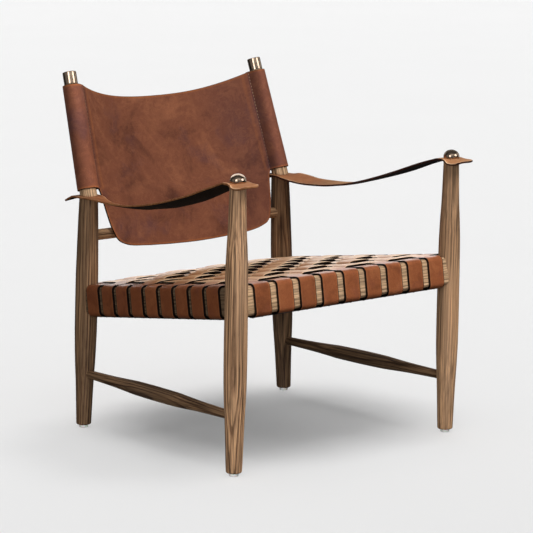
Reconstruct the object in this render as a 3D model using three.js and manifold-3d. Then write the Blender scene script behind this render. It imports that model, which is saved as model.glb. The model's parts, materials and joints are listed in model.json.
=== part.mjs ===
// Lounge chair with a turned wood frame, a leather sling back, a woven leather
// strap seat and two slack leather arm straps.
// Millimetres, +Z up, front of the chair at -Y, left at -X as seen from the front.
import * as THREE from 'three';
import { mergeVertices } from 'three/addons/utils/BufferGeometryUtils.js';
import Module from 'manifold-3d';

// ---------------------------------------------------------------- dimensions
const GAP = 0.3;                       // clearance between touching pieces
const ORIGIN_Y = -31;                  // moves the feet so the origin is under the middle of the chair

// legs, on the right-hand side (the left side mirrors them)
const FRONT_FOOT = [304.5, -270.1];
const FRONT_TOP = [302.1, -277.9];     // where the axis meets the arm strap
const FRONT_TOP_Z = 611.2;
const REAR_FOOT = [294.8, 270.1];
const REAR_TOP = [277.6, 267.9];
const REAR_TOP_Z = 517.5;
const GLIDE_H = 7, GLIDE_R = 10;
const LEG_BOTTOM = GLIDE_H + GAP;
// [height, radius]
const FRONT_PROFILE = [[LEG_BOTTOM, 13.6], [10.5, 16.4], [26, 17.7], [71, 19.1], [116, 20.8], [161, 22.9],
  [206, 24.2], [268, 24.5], [340, 24.2], [431, 23.4], [476, 21.8], [521, 19.4], [566, 18.0], [FRONT_TOP_Z, 16.9]];
const REAR_PROFILE = [[LEG_BOTTOM, 13.4], [10.5, 16.1], [33, 17.5], [65, 18.6], [106, 20.2], [151, 22.6],
  [196, 24.1], [230, 24.8], [331, 25.0], [398, 23.9], [460, 22.5], [490, 21.6], [REAR_TOP_Z, 20.6]];
const LEG_SIDES = 16;

// back posts
const STRAP_T = 4;                     // all leather straps
const POST_BOTTOM_Z = REAR_TOP_Z + STRAP_T + 2 * GAP;
const POST_BASE = [277.6, 267.9, POST_BOTTOM_Z];
const POST_TIP = [266.0, 353.5, 787];  // centre of the cap's top
const POST_R0 = 19, POST_R1 = 15.3;
const CAP_H = 28, CAP_WALL = 1.9, CAP_TOP = 4;
const POST_DOWEL_R = 7, POST_DOWEL_TILT = 8.8, POST_DOWEL_DOWN = 36, POST_DOWEL_UP = 31;

// knobs on the front legs, with a stud in a threaded insert
const KNOB_R = 17.5, KNOB_H = 18;
const KNOB_Z = FRONT_TOP_Z + STRAP_T + 2 * GAP;
const STUD_R = 4, STUD_UP = 10, STUD_IN_LEG = 15;
const INSERT_R = 6, INSERT_H = 15.5;

// back sling
const SLING_T = 4;
const SLEEVE_S0 = 13, SLEEVE_S1 = 248.8;     // along the post from its base
const SLING_TOP_Z = 757, SLING_DIP = 25;     // upper edge, at the sleeve and its dip in the middle
const SLING_TAIL_Z = 405.7, TAIL_BOW = 5.3;  // lower edge in the middle, and its rise at 180 mm from it
const TAIL_HALF_TOP = 246, TAIL_HALF_BOTTOM = 231, TAIL_CORNER = 45;
const SEAM_X = 247;
const SAG_TOP = 60, SAG_TAIL = 10.5;

// rails and stretchers
const SEAT_TILT = 8.3;                       // degrees, lower at the rear
const SEAT_Y0 = -3.5, SEAT_Z0 = 327.5, SEAT_HALF = 274.4;
const RAIL_T = 30, RAIL_H = 62, RAIL_R = 10;
const RAIL_END = 18, TENON_END = 8, TENON_T = 12, TENON_H = 40;
const RAIL_X_FRONT = 303.1, RAIL_X_REAR = 285.2;
const STRETCHER = [[0, 9.3], [0.1, 10.3], [0.2, 11.6], [0.29, 13.7], [0.37, 15.6], [0.5, 16.1],
  [0.63, 15.6], [0.71, 13.7], [0.8, 11.6], [0.9, 10.3], [1, 9.3]];
const STRETCHER_Z_FRONT = 127, STRETCHER_Z_REAR = 123;
const BACK_RAIL_Z = 432, BACK_RAIL_R = 12.2, BACK_RAIL_TENON_R = 8;

// woven seat
const STRAPS = 9;
const WARP_W = 42.4, WARP_PITCH = 61.6;
const WEFT_W = 44, WEFT_PITCH = 54.83;
const WEAVE = STRAP_T / 2 + GAP / 2;         // half the rise between over and under
const STRIP_W = 12, STRIP_T = 1.6;

// arm straps, [y, height of the middle, tilt in degrees with the +X edge up, width]; each strap hangs in its own way
const ARM_W = 56;
const ARM_FRONT_Z = FRONT_TOP_Z + GAP + STRAP_T / 2, ARM_REAR_Z = REAR_TOP_Z + GAP + STRAP_T / 2;
const ARM_FRONT_END = [[-330, 611.6, 0, 8], [-328, 611.8, 0, 20.8], [-323, 612.2, 0, 37], [-315, 612.8, 0, 49.6],
  [-302, ARM_FRONT_Z, 0, ARM_W], [-259, ARM_FRONT_Z, 0, ARM_W]];
const ARM_REAR_END = [[246, ARM_REAR_Z, 0, ARM_W], [291, ARM_REAR_Z, 0, ARM_W], [302, 517.8, 0, ARM_W], [315, 514.4, 0, ARM_W],
  [325, 511.2, 0, 52.3], [335, 507.6, 0, 39.2], [340, 505.7, 0, 25.2], [343, 504.5, 0, 8]];
const ARM_HANG = {
  left: [[-249, 607.2, -6.6], [-200, 589.6, -9.8], [-140, 567.9, -12.3], [-80, 550.6, -13.2], [-20, 535.9, -12.6],
    [40, 525.1, -11.3], [100, 516.9, -12.1], [160, 514.1, -13.2], [205, 514.6, -12.9], [235, 517.2, -8.5]],
  right: [[-249, 609.6, -0.8], [-200, 595.1, -0.5], [-140, 573.7, -1.2], [-80, 554.5, 0.1], [-20, 537.5, 1.2],
    [40, 523.4, 0.6], [100, 517.0, 4.4], [160, 515.0, 7.1], [205, 518.0, 10.2], [235, 519.8, 8.5]],
};

// ----------------------------------------------------------------- materials
const finish = (color, roughness, metalness) => new THREE.MeshStandardMaterial({ color, roughness, metalness });
const WOOD = finish(0x8d6f54, 0.62, 0);
const RAIL_WOOD = finish(0xb09a7c, 0.65, 0);
const LEATHER = finish(0x8a4f34, 0.5, 0);
const STRAP_LEATHER = finish(0x9a5a38, 0.48, 0);
const BRASS = finish(0x9a805c, 0.28, 1);
const STEEL = finish(0xa6a6a4, 0.35, 1);
const GLIDE = finish(0xcfd0cd, 0.4, 0);

// -------------------------------------------------------------------- solids
const wasm = await Module();
wasm.setup();

const solid = (geometry) => {
  let g = geometry.clone();
  g.deleteAttribute('normal');
  if (g.getAttribute('uv')) g.deleteAttribute('uv');
  g = mergeVertices(g, 1e-4);
  return new wasm.Manifold(new wasm.Mesh({
    numProp: 3,
    vertProperties: new Float32Array(g.getAttribute('position').array),
    triVerts: new Uint32Array(g.getIndex().array),
  }));
};
const shapeOf = (manifold) => {
  const m = manifold.getMesh();
  const g = new THREE.BufferGeometry();
  g.setAttribute('position', new THREE.BufferAttribute(new Float32Array(m.vertProperties), 3));
  g.setIndex(new THREE.BufferAttribute(new Uint32Array(m.triVerts), 1));
  g.computeVertexNormals();
  return g;
};
const v3 = (x, y, z) => new THREE.Vector3(x, y, z);

// a turned piece: profile [[distance along the axis, radius], ...] from a point along a direction
const turned = (profile, base, direction, sides) => {
  const points = [new THREE.Vector2(0, profile[0][0])];
  for (const [s, r] of profile) points.push(new THREE.Vector2(r, s));
  points.push(new THREE.Vector2(0, profile[profile.length - 1][0]));
  const g = new THREE.LatheGeometry(points, sides);
  const q = new THREE.Quaternion().setFromUnitVectors(v3(0, 1, 0), direction.clone().normalize());
  return g.applyQuaternion(q).translate(base.x, base.y, base.z);
};
// a turned ring whose profile closes on itself
const ring = (loop, base, direction, sides) => {
  const points = loop.map(([s, r]) => new THREE.Vector2(r, s));
  points.push(points[0].clone());
  const g = new THREE.LatheGeometry(points, sides);
  const q = new THREE.Quaternion().setFromUnitVectors(v3(0, 1, 0), direction.clone().normalize());
  return g.applyQuaternion(q).translate(base.x, base.y, base.z);
};
const rod = (a, b, r, sides) => {
  const d = b.clone().sub(a);
  return turned([[0, r], [d.length(), r]], a, d, sides);
};
const block = (sx, sy, sz, x, y, z) => new THREE.BoxGeometry(sx, sy, sz).translate(x, y, z);

// a closed skin over rows of sections, each a loop of the same number of points
const loft = (sections) => {
  const n = sections[0].length;
  const pos = [], idx = [];
  for (const s of sections) for (const p of s) pos.push(p.x, p.y, p.z);
  for (let i = 0; i + 1 < sections.length; i++) {
    for (let k = 0; k < n; k++) {
      const a = i * n + k, b = i * n + (k + 1) % n, c = a + n, d = b + n;
      idx.push(a, b, d, a, d, c);
    }
  }
  for (let k = 1; k + 1 < n; k++) {
    idx.push(0, k + 1, k);
    const o = (sections.length - 1) * n;
    idx.push(o, o + k, o + k + 1);
  }
  const g = new THREE.BufferGeometry();
  g.setAttribute('position', new THREE.Float32BufferAttribute(pos, 3));
  g.setIndex(idx);
  return g;
};
// a closed sheet over a grid of front points and back points, front[row][column]
const slab = (front, back) => {
  const rows = front.length, cols = front[0].length;
  const pos = [], idx = [];
  for (const grid of [front, back]) for (const row of grid) for (const p of row) pos.push(p.x, p.y, p.z);
  const F = (r, c) => r * cols + c, B = (r, c) => rows * cols + r * cols + c;
  const quad = (a, b, c, d) => idx.push(a, b, c, a, c, d);
  for (let r = 0; r + 1 < rows; r++) {
    for (let c = 0; c + 1 < cols; c++) {
      quad(F(r, c), F(r, c + 1), F(r + 1, c + 1), F(r + 1, c));
      quad(B(r, c), B(r + 1, c), B(r + 1, c + 1), B(r, c + 1));
    }
    quad(F(r, 0), F(r + 1, 0), B(r + 1, 0), B(r, 0));
    quad(F(r, cols - 1), B(r, cols - 1), B(r + 1, cols - 1), F(r + 1, cols - 1));
  }
  for (let c = 0; c + 1 < cols; c++) {
    quad(F(0, c), B(0, c), B(0, c + 1), F(0, c + 1));
    quad(F(rows - 1, c), F(rows - 1, c + 1), B(rows - 1, c + 1), B(rows - 1, c));
  }
  const g = new THREE.BufferGeometry();
  g.setAttribute('position', new THREE.Float32BufferAttribute(pos, 3));
  g.setIndex(idx);
  return g;
};

// ------------------------------------------------------------------ assembly
const chair = new THREE.Group();
chair.name = 'leather_sling_lounge_chair';
const model = new THREE.Group();
model.position.set(0, ORIGIN_Y, 0);
chair.add(model);
const put = (name, geometry, material, parent = model) => {
  const mesh = new THREE.Mesh(geometry, material);
  mesh.name = name;
  parent.add(mesh);
  return mesh;
};
const SIDES = [['left', -1], ['right', 1]];

const axisAt = (foot, top, topZ, z, side) => {
  const t = z / topZ;
  return v3(side * (foot[0] + (top[0] - foot[0]) * t), foot[1] + (top[1] - foot[1]) * t, z);
};
const frontAxis = (z, side) => axisAt(FRONT_FOOT, FRONT_TOP, FRONT_TOP_Z, z, side);
const rearAxis = (z, side) => axisAt(REAR_FOOT, REAR_TOP, REAR_TOP_Z, z, side);

// a leg is turned about its leaning axis: level rings centred on the axis at each height
const legSolid = (profile, axis, side) => {
  const sections = profile.map(([z, r]) => {
    const c = axis(z, side);
    const loop = [];
    for (let k = 0; k < LEG_SIDES; k++) {
      const a = (2 * Math.PI * (k + 0.5)) / LEG_SIDES;
      loop.push(v3(c.x + r * Math.cos(a), c.y + r * Math.sin(a), z));
    }
    return loop;
  });
  return solid(loft(sections));
};

// ------------------------------------------------------- seat frame and rails
const TILT = THREE.MathUtils.degToRad(SEAT_TILT);
const seatPoint = (x, y, z) => v3(x,
  SEAT_Y0 + y * Math.cos(TILT) + z * Math.sin(TILT),
  SEAT_Z0 - y * Math.sin(TILT) + z * Math.cos(TILT));
const mapGeometry = (geometry, f) => {
  const p = geometry.getAttribute('position');
  for (let i = 0; i < p.count; i++) {
    const q = f(p.getX(i), p.getY(i), p.getZ(i));
    p.setXYZ(i, q.x, q.y, q.z);
  }
  return geometry;
};
const roundedRect = (w, h, r, steps) => {
  const s = new THREE.Shape();
  const corners = [[w / 2 - r, -h / 2 + r, -Math.PI / 2], [w / 2 - r, h / 2 - r, 0],
    [-w / 2 + r, h / 2 - r, Math.PI / 2], [-w / 2 + r, -h / 2 + r, Math.PI]];
  const pts = [];
  for (const [cx, cy, a0] of corners) {
    for (let i = 0; i <= steps; i++) {
      const a = a0 + (i / steps) * Math.PI / 2;
      pts.push(new THREE.Vector2(cx + r * Math.cos(a), cy + r * Math.sin(a)));
    }
  }
  s.setFromPoints(pts);
  return s;
};
// a rail of rounded section between two points of the seat frame, with a tenon at each end
const railSolid = (a, b, grow) => {
  const d = b.clone().sub(a);
  const len = d.length();
  const body = new THREE.ExtrudeGeometry(roundedRect(RAIL_T + 2 * grow, RAIL_H + 2 * grow, RAIL_R + grow, 3),
    { depth: len - 2 * RAIL_END + 2 * grow, bevelEnabled: false, curveSegments: 1 });
  body.translate(0, 0, RAIL_END - grow);
  const tenon = block(TENON_T + 2 * grow, TENON_H + 2 * grow, len - 2 * TENON_END + 2 * grow, 0, 0, len / 2);
  let s = solid(body).add(solid(tenon));
  // the rail's own axes: its length, then level across, then up in the seat frame
  const along = d.clone().normalize();
  const up = v3(0, Math.sin(TILT), Math.cos(TILT));
  const across = up.clone().cross(along).normalize();
  const m = new THREE.Matrix4().makeBasis(across, up.clone().projectOnPlane(along).normalize(), along);
  m.setPosition(a);
  return solid(shapeOf(s).applyMatrix4(m));
};
const cornerPoint = (front, side) => seatPoint(side * (front ? RAIL_X_FRONT : RAIL_X_REAR), front ? -SEAT_HALF : SEAT_HALF, 0);
const RAILS = {
  front: [cornerPoint(true, -1), cornerPoint(true, 1)],
  rear: [cornerPoint(false, -1), cornerPoint(false, 1)],
  left: [cornerPoint(true, -1), cornerPoint(false, -1)],
  right: [cornerPoint(true, 1), cornerPoint(false, 1)],
};
const railCut = {};
for (const [name, [a, b]] of Object.entries(RAILS)) {
  put(`${name}_seat_rail`, shapeOf(railSolid(a, b, 0)), RAIL_WOOD);
  railCut[name] = railSolid(a, b, GAP);
}

// ------------------------------------------------- stretchers and the back rail
const spindle = (a, b, profile, grow, sides) => {
  const d = b.clone().sub(a);
  const len = d.length();
  return turned(profile.map(([t, r], i) => {
    const end = i === 0 ? -grow : i === profile.length - 1 ? grow : 0;
    return [t * len + end, r + grow];
  }), a, d, sides);
};
const stretcherEnds = {}, stretcherCut = {};
for (const [name, side] of SIDES) {
  const f = frontAxis(STRETCHER_Z_FRONT, side), r = rearAxis(STRETCHER_Z_REAR, side);
  const d = r.clone().sub(f).normalize();
  const a = f.clone().addScaledVector(d, TENON_END), b = r.clone().addScaledVector(d, -TENON_END);
  stretcherEnds[name] = [a, b];
  put(`${name}_stretcher`, spindle(a, b, STRETCHER, 0, 14), WOOD);
  stretcherCut[name] = solid(spindle(a, b, STRETCHER, GAP, 14));
}
const backRailEnds = [rearAxis(BACK_RAIL_Z, -1), rearAxis(BACK_RAIL_Z, 1)];
const backRail = (grow) => {
  const [a, b] = backRailEnds;
  const len = b.x - a.x;
  const t = TENON_END - grow, s = RAIL_END + 1 - grow;
  return turned([[t, BACK_RAIL_TENON_R + grow], [s, BACK_RAIL_TENON_R + grow], [s, BACK_RAIL_R + grow],
    [len - s, BACK_RAIL_R + grow], [len - s, BACK_RAIL_TENON_R + grow], [len - t, BACK_RAIL_TENON_R + grow]],
  a, v3(1, 0, 0), 18);
};
put('back_rail', backRail(0), WOOD);
const backRailCut = solid(backRail(GAP));

// ------------------------------------------------------------------ back posts
const postBase = (side) => v3(side * POST_BASE[0], POST_BASE[1], POST_BASE[2]);
const postTip = (side) => v3(side * POST_TIP[0], POST_TIP[1], POST_TIP[2]);
const postDir = (side) => postTip(side).sub(postBase(side)).normalize();
const POST_LEN = postTip(1).distanceTo(postBase(1));
const postRadius = (s) => POST_R0 + (POST_R1 - POST_R0) * (s / (POST_LEN - CAP_H));
const dowelDir = () => v3(0, Math.sin(THREE.MathUtils.degToRad(POST_DOWEL_TILT)), Math.cos(THREE.MathUtils.degToRad(POST_DOWEL_TILT)));
const postDowel = (side, grow) => {
  const c = v3(side * REAR_TOP[0], REAR_TOP[1], REAR_TOP_Z + STRAP_T / 2 + GAP);
  const d = dowelDir();
  return rod(c.clone().addScaledVector(d, -POST_DOWEL_DOWN - grow), c.clone().addScaledVector(d, POST_DOWEL_UP + grow),
    POST_DOWEL_R + grow, 14);
};
for (const [name, side] of SIDES) {
  const base = postBase(side), dir = postDir(side);
  const spigot = POST_R1 - CAP_WALL - GAP;
  const profile = [[-14, postRadius(-14)], [0, POST_R0], [POST_LEN / 2, postRadius(POST_LEN / 2)],
    [POST_LEN - CAP_H - GAP, POST_R1], [POST_LEN - CAP_H - GAP, spigot], [POST_LEN - CAP_TOP - GAP, spigot]];
  let post = solid(turned(profile, base, dir, 20));
  // the foot of the post is cut level, to stand on the arm strap
  post = post.subtract(solid(block(120, 160, 60, base.x, base.y, POST_BOTTOM_Z - 30)));
  post = post.subtract(solid(postDowel(side, GAP)));
  put(`${name}_back_post`, shapeOf(post), WOOD);
  put(`${name}_post_dowel`, postDowel(side, 0), RAIL_WOOD);

  // cap: a drawn cup with a softened rim, pushed over the post's spigot
  const cap = put(`${name}_post_cap`, new THREE.LatheGeometry([
    [0, CAP_H - CAP_TOP], [POST_R1 - CAP_WALL, CAP_H - CAP_TOP], [POST_R1 - CAP_WALL, 0], [POST_R1, 0],
    [POST_R1, CAP_H - 1.6], [POST_R1 - 0.5, CAP_H - 0.5], [POST_R1 - 1.6, CAP_H], [0, CAP_H],
  ].map(([r, s]) => new THREE.Vector2(r, s)), 18), BRASS);
  cap.position.copy(base.clone().addScaledVector(dir, POST_LEN - CAP_H));
  cap.quaternion.setFromUnitVectors(v3(0, 1, 0), dir);
}

// ------------------------------------------------------------------------ legs
for (const [name, side] of SIDES) {
  // front leg: rails, stretcher, insert hole in the top and nail hole in the foot
  const top = v3(side * FRONT_TOP[0], FRONT_TOP[1], FRONT_TOP_Z);
  let leg = legSolid(FRONT_PROFILE, frontAxis, side);
  leg = leg.subtract(railCut.front).subtract(railCut[name]).subtract(stretcherCut[name]);
  leg = leg.subtract(solid(rod(v3(top.x, top.y, FRONT_TOP_Z - STUD_IN_LEG - 6), v3(top.x, top.y, FRONT_TOP_Z + 5), INSERT_R + GAP, 16)));
  const foot = frontAxis(0, side);
  leg = leg.subtract(solid(rod(v3(foot.x, foot.y, 0), v3(foot.x, foot.y, 26), 1.8 + GAP, 10)));
  put(`front_${name}_leg`, shapeOf(leg), WOOD);

  // threaded insert flush with the leg's top, and the stud that runs in it
  put(`${name}_knob_insert`, ring([[FRONT_TOP_Z - INSERT_H, STUD_R + GAP], [FRONT_TOP_Z - GAP, STUD_R + GAP],
    [FRONT_TOP_Z - GAP, INSERT_R], [FRONT_TOP_Z - INSERT_H, INSERT_R]].reverse(), v3(top.x, top.y, 0), v3(0, 0, 1), 16), BRASS);
  const stud = put(`${name}_knob_stud`, turned([[0, STUD_R - 0.8], [1, STUD_R], [STUD_IN_LEG + STRAP_T + 2 * GAP + STUD_UP, STUD_R]],
    v3(0, 0, 0), v3(0, 0, 1), 14), STEEL);
  stud.position.set(top.x, top.y, FRONT_TOP_Z - STUD_IN_LEG);

  // knob: a half-ball with a short straight rim, hollowed for the stud
  const dome = [[0, STUD_UP + 1.5], [STUD_R + GAP, STUD_UP + 1.5], [STUD_R + GAP, 0], [KNOB_R - 1.2, 0], [KNOB_R, 1.4], [KNOB_R, 3.2]];
  for (let i = 1; i < 6; i++) {
    const a = (i / 6) * Math.PI / 2;
    dome.push([KNOB_R * Math.cos(a), 3.2 + (KNOB_H - 3.2) * Math.sin(a)]);
  }
  dome.push([0, KNOB_H]);
  const knob = put(`${name}_arm_knob`, new THREE.LatheGeometry(dome.map(([r, z]) => new THREE.Vector2(r, z)), 18), BRASS);
  knob.rotation.x = Math.PI / 2;
  knob.position.set(top.x, top.y, KNOB_Z);

  // rear leg: rails, stretcher, back rail, dowel socket and nail hole
  let rear = legSolid(REAR_PROFILE, rearAxis, side);
  rear = rear.subtract(railCut.rear).subtract(railCut[name]).subtract(stretcherCut[name]).subtract(backRailCut);
  rear = rear.subtract(solid(postDowel(side, GAP)));
  const heel = rearAxis(0, side);
  rear = rear.subtract(solid(rod(v3(heel.x, heel.y, 0), v3(heel.x, heel.y, 26), 1.8 + GAP, 10)));
  put(`rear_${name}_leg`, shapeOf(rear), WOOD);

  // glides with their nails
  for (const [end, at] of [['front', foot], ['rear', heel]]) {
    const glide = put(`${end}_${name}_glide`, new THREE.LatheGeometry([
      [0, 0], [GLIDE_R - 0.8, 0], [GLIDE_R, 1], [GLIDE_R, GLIDE_H - 1], [GLIDE_R - 1, GLIDE_H], [1.8 + GAP, GLIDE_H], [1.8 + GAP, 2.5], [0, 2.5],
    ].map(([r, z]) => new THREE.Vector2(r, z)), 14), GLIDE);
    glide.rotation.x = Math.PI / 2;
    glide.position.set(at.x, at.y, 0);
    const nail = put(`${end}_${name}_glide_nail`, turned([[0, 1.8], [17, 1.8], [22, 0.6]], v3(0, 0, 0), v3(0, 0, 1), 8), STEEL);
    nail.position.set(at.x, at.y, 2.5 + GAP);
  }
}

// ------------------------------------------------------------------ back sling
// the posts lie in one leaning plane; depth is measured backwards from it
const LEAN = Math.atan2(POST_TIP[1] - POST_BASE[1], POST_TIP[2] - POST_BASE[2]);
const slingPoint = (x, z, depth) => v3(x,
  POST_BASE[1] + (z - POST_BASE[2]) * Math.tan(LEAN) + depth * Math.cos(LEAN),
  z - depth * Math.sin(LEAN));
const slingSag = (x, z) => {
  const u = Math.min(1, Math.abs(x) / SEAM_X);
  const rise = Math.max(0, Math.min(1, (z - 520) / (SLING_TOP_Z - 520)));
  const middle = Math.sqrt(SAG_TAIL ** 2 + (SAG_TOP ** 2 - SAG_TAIL ** 2) * rise);
  const held = Math.max(0, Math.min(1, (z - 450) / 85));           // the sleeves hold the sides above the tail
  const bowed = middle * (1 - u ** 2.6);
  const flat = SAG_TAIL * (1 - 0.3 * u ** 4);                      // the tail lies against the back rail
  return flat * (1 - held) + bowed * held;
};
const tailBottom = (x) => {
  const over = Math.abs(x) - (TAIL_HALF_BOTTOM - TAIL_CORNER);
  const edge = SLING_TAIL_Z + TAIL_BOW * (Math.abs(x) / 180) ** 3;
  return over <= 0 ? edge : edge + TAIL_CORNER - Math.sqrt(Math.max(0, TAIL_CORNER ** 2 - over ** 2));
};
const slingTop = (x) => SLING_TOP_Z - SLING_DIP * (1 - Math.min(1, Math.abs(x) / SEAM_X) ** 2.4);
const sleeveZ0 = POST_BASE[2] + SLEEVE_S0 * Math.cos(LEAN);
{
  const cols = 14;
  const levels = [0, 0.18, 0.42, 0.7, 1];           // of the tail
  const upper = [0.004, 0.2, 0.4, 0.6, 0.8, 1];     // between the sleeves
  const front = [], back = [];
  const row = (f) => {
    const a = [], b = [];
    for (let c = 0; c <= cols; c++) {
      const u = Math.sin((c / cols - 0.5) * Math.PI);
      const [x, z] = f(u);
      const s = slingSag(x, z);
      a.push(slingPoint(x, z, s - SLING_T / 2));
      b.push(slingPoint(x, z, s + SLING_T / 2));
    }
    front.push(a);
    back.push(b);
  };
  for (const t of levels) {
    row((u) => {
      const xb = u * TAIL_HALF_BOTTOM, zb = tailBottom(xb);
      const xt = u * TAIL_HALF_TOP, zt = sleeveZ0;
      const z = zb + (zt - zb) * t;
      const k = (z - SLING_TAIL_Z) / (sleeveZ0 - SLING_TAIL_Z);
      return [xb + (xt - xb) * k, z];
    });
  }
  for (const t of upper) {
    row((u) => {
      // the panel reaches into the wall of each sleeve
      const reach = (z) => {
        const p = (z - POST_BASE[2]) / (POST_TIP[2] - POST_BASE[2]);
        return POST_BASE[0] + (POST_TIP[0] - POST_BASE[0]) * p - postRadius(p * POST_LEN) - 2;
      };
      const zTop = slingTop(u * 245);
      const z = sleeveZ0 + (zTop - sleeveZ0) * t;
      return [u * reach(z), z];
    });
  }
  let sling = solid(slab(front, back));
  for (const [, side] of SIDES) {
    const at = (s) => postRadius(s) + GAP;
    const wall = SLING_T - GAP;
    const sleeve = ring([[SLEEVE_S0, at(SLEEVE_S0)], [SLEEVE_S0, at(SLEEVE_S0) + wall], [SLEEVE_S1, at(SLEEVE_S1) + wall], [SLEEVE_S1, at(SLEEVE_S1)]],
      postBase(side), postDir(side), 20);
    // the two plies close to a seam beside the post
    const wedge = [];
    for (const s of [SLEEVE_S0, SLEEVE_S1]) {
      const c = postBase(side).addScaledVector(postDir(side), s);
      const inward = v3(-side, 0, 0), n = v3(0, Math.cos(LEAN), -Math.sin(LEAN));
      const h = at(s) * 0.8;
      wedge.push([
        c.clone().addScaledVector(inward, at(s) * 0.62).addScaledVector(n, -h),
        c.clone().addScaledVector(inward, at(s) + 11).addScaledVector(n, -SLING_T / 2),
        c.clone().addScaledVector(inward, at(s) + 11).addScaledVector(n, SLING_T / 2),
        c.clone().addScaledVector(inward, at(s) * 0.62).addScaledVector(n, h),
      ]);
    }
    if (side > 0) for (const loop of wedge) loop.reverse();
    const hollow = turned([[-5, at(-5)], [POST_LEN - CAP_H, at(POST_LEN - CAP_H)]], postBase(side), postDir(side), 20);
    sling = sling.add(solid(sleeve)).add(solid(loft(wedge))).subtract(solid(hollow));
  }
  put('back_sling', shapeOf(sling), LEATHER);
}

// ------------------------------------------------------------------ arm straps
for (const [name, side] of SIDES) {
  const x = (y) => {
    const t = (y - FRONT_TOP[1]) / (REAR_TOP[1] - FRONT_TOP[1]);
    return FRONT_TOP[0] + (REAR_TOP[0] - FRONT_TOP[0]) * t;
  };
  const arm = [...ARM_FRONT_END, ...ARM_HANG[name], ...ARM_REAR_END];
  const sections = arm.map(([y, z, tilt, w = ARM_W], i) => {
    const p = arm[Math.max(0, i - 1)], q = arm[Math.min(arm.length - 1, i + 1)];
    const along = v3(0, q[0] - p[0], q[1] - p[1]).normalize();
    const a = THREE.MathUtils.degToRad(tilt);
    const up = v3(0, -along.z, along.y);
    const across = v3(Math.cos(a), 0, 0).addScaledVector(up, Math.sin(a));
    const normal = v3(-Math.sin(a), 0, 0).addScaledVector(up, Math.cos(a));
    const c = v3(side * x(y), y, z);
    const corner = (sw, sn) => c.clone().addScaledVector(across, sw * w / 2).addScaledVector(normal, sn * STRAP_T / 2);
    return [corner(-1, -1), corner(-1, 1), corner(1, 1), corner(1, -1)];
  });
  let strap = solid(loft(sections));
  const top = v3(side * FRONT_TOP[0], FRONT_TOP[1], FRONT_TOP_Z);
  strap = strap.subtract(solid(rod(v3(top.x, top.y, top.z - 20), v3(top.x, top.y, top.z + 30), STUD_R + 0.6, 14)));
  strap = strap.subtract(solid(postDowel(side, 0.5)));
  put(`${name}_arm_strap`, shapeOf(strap), STRAP_LEATHER);
}

// ------------------------------------------------------------------ woven seat
// a strap drawn as a line of [along, height], given thickness and width
const ribbon = (path, width) => {
  const left = [], right = [];
  for (let i = 0; i < path.length; i++) {
    const p = path[Math.max(0, i - 1)], c = path[i], q = path[Math.min(path.length - 1, i + 1)];
    const d0 = new THREE.Vector2(c[0] - p[0], c[1] - p[1]).normalize();
    const d1 = new THREE.Vector2(q[0] - c[0], q[1] - c[1]).normalize();
    if (i === 0) d0.copy(d1);
    if (i === path.length - 1) d1.copy(d0);
    const n = new THREE.Vector2(-(d0.y + d1.y), d0.x + d1.x).normalize();
    const k = STRAP_T / 2 / Math.max(0.5, n.dot(new THREE.Vector2(-d1.y, d1.x)));
    left.push(new THREE.Vector2(c[0] + n.x * k, c[1] + n.y * k));
    right.push(new THREE.Vector2(c[0] - n.x * k, c[1] - n.y * k));
  }
  const shape = new THREE.Shape();
  shape.setFromPoints([...left, ...right.reverse()]);
  const g = new THREE.ExtrudeGeometry(shape, { depth: width, bevelEnabled: false, curveSegments: 1 });
  return g.translate(0, 0, -width / 2);
};
const WRAP_T = RAIL_T / 2 + GAP + STRAP_T / 2, WRAP_H = RAIL_H / 2 + GAP + STRAP_T / 2, WRAP_R = RAIL_R - 2 + GAP + STRAP_T / 2;
// round one rail, from its underside up over its top; out is the side away from the seat
const wrap = (centre, out) => {
  const pts = [[centre - out * 11, -WRAP_H]];
  for (const [cz, from] of [[-WRAP_H + WRAP_R, -90], [WRAP_H - WRAP_R, 0]]) {
    for (const a of [0, 45, 90]) {
      const t = THREE.MathUtils.degToRad(from + a);
      pts.push([centre + out * (WRAP_T - WRAP_R + WRAP_R * Math.cos(t)), cz + WRAP_R * Math.sin(t)]);
    }
  }
  pts.push([centre - out * (RAIL_T / 2 - 1), WRAP_H]);
  return pts;
};
const fan = (y) => 1 - (1 - RAIL_X_REAR / RAIL_X_FRONT) * (y + SEAT_HALF) / (2 * SEAT_HALF);
const warpX = (i) => (i - (STRAPS + 1) / 2) * WARP_PITCH;
const weftY = (j) => ((STRAPS + 1) / 2 - j) * WEFT_PITCH;
const railX = (y) => RAIL_X_FRONT * fan(y);

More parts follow.
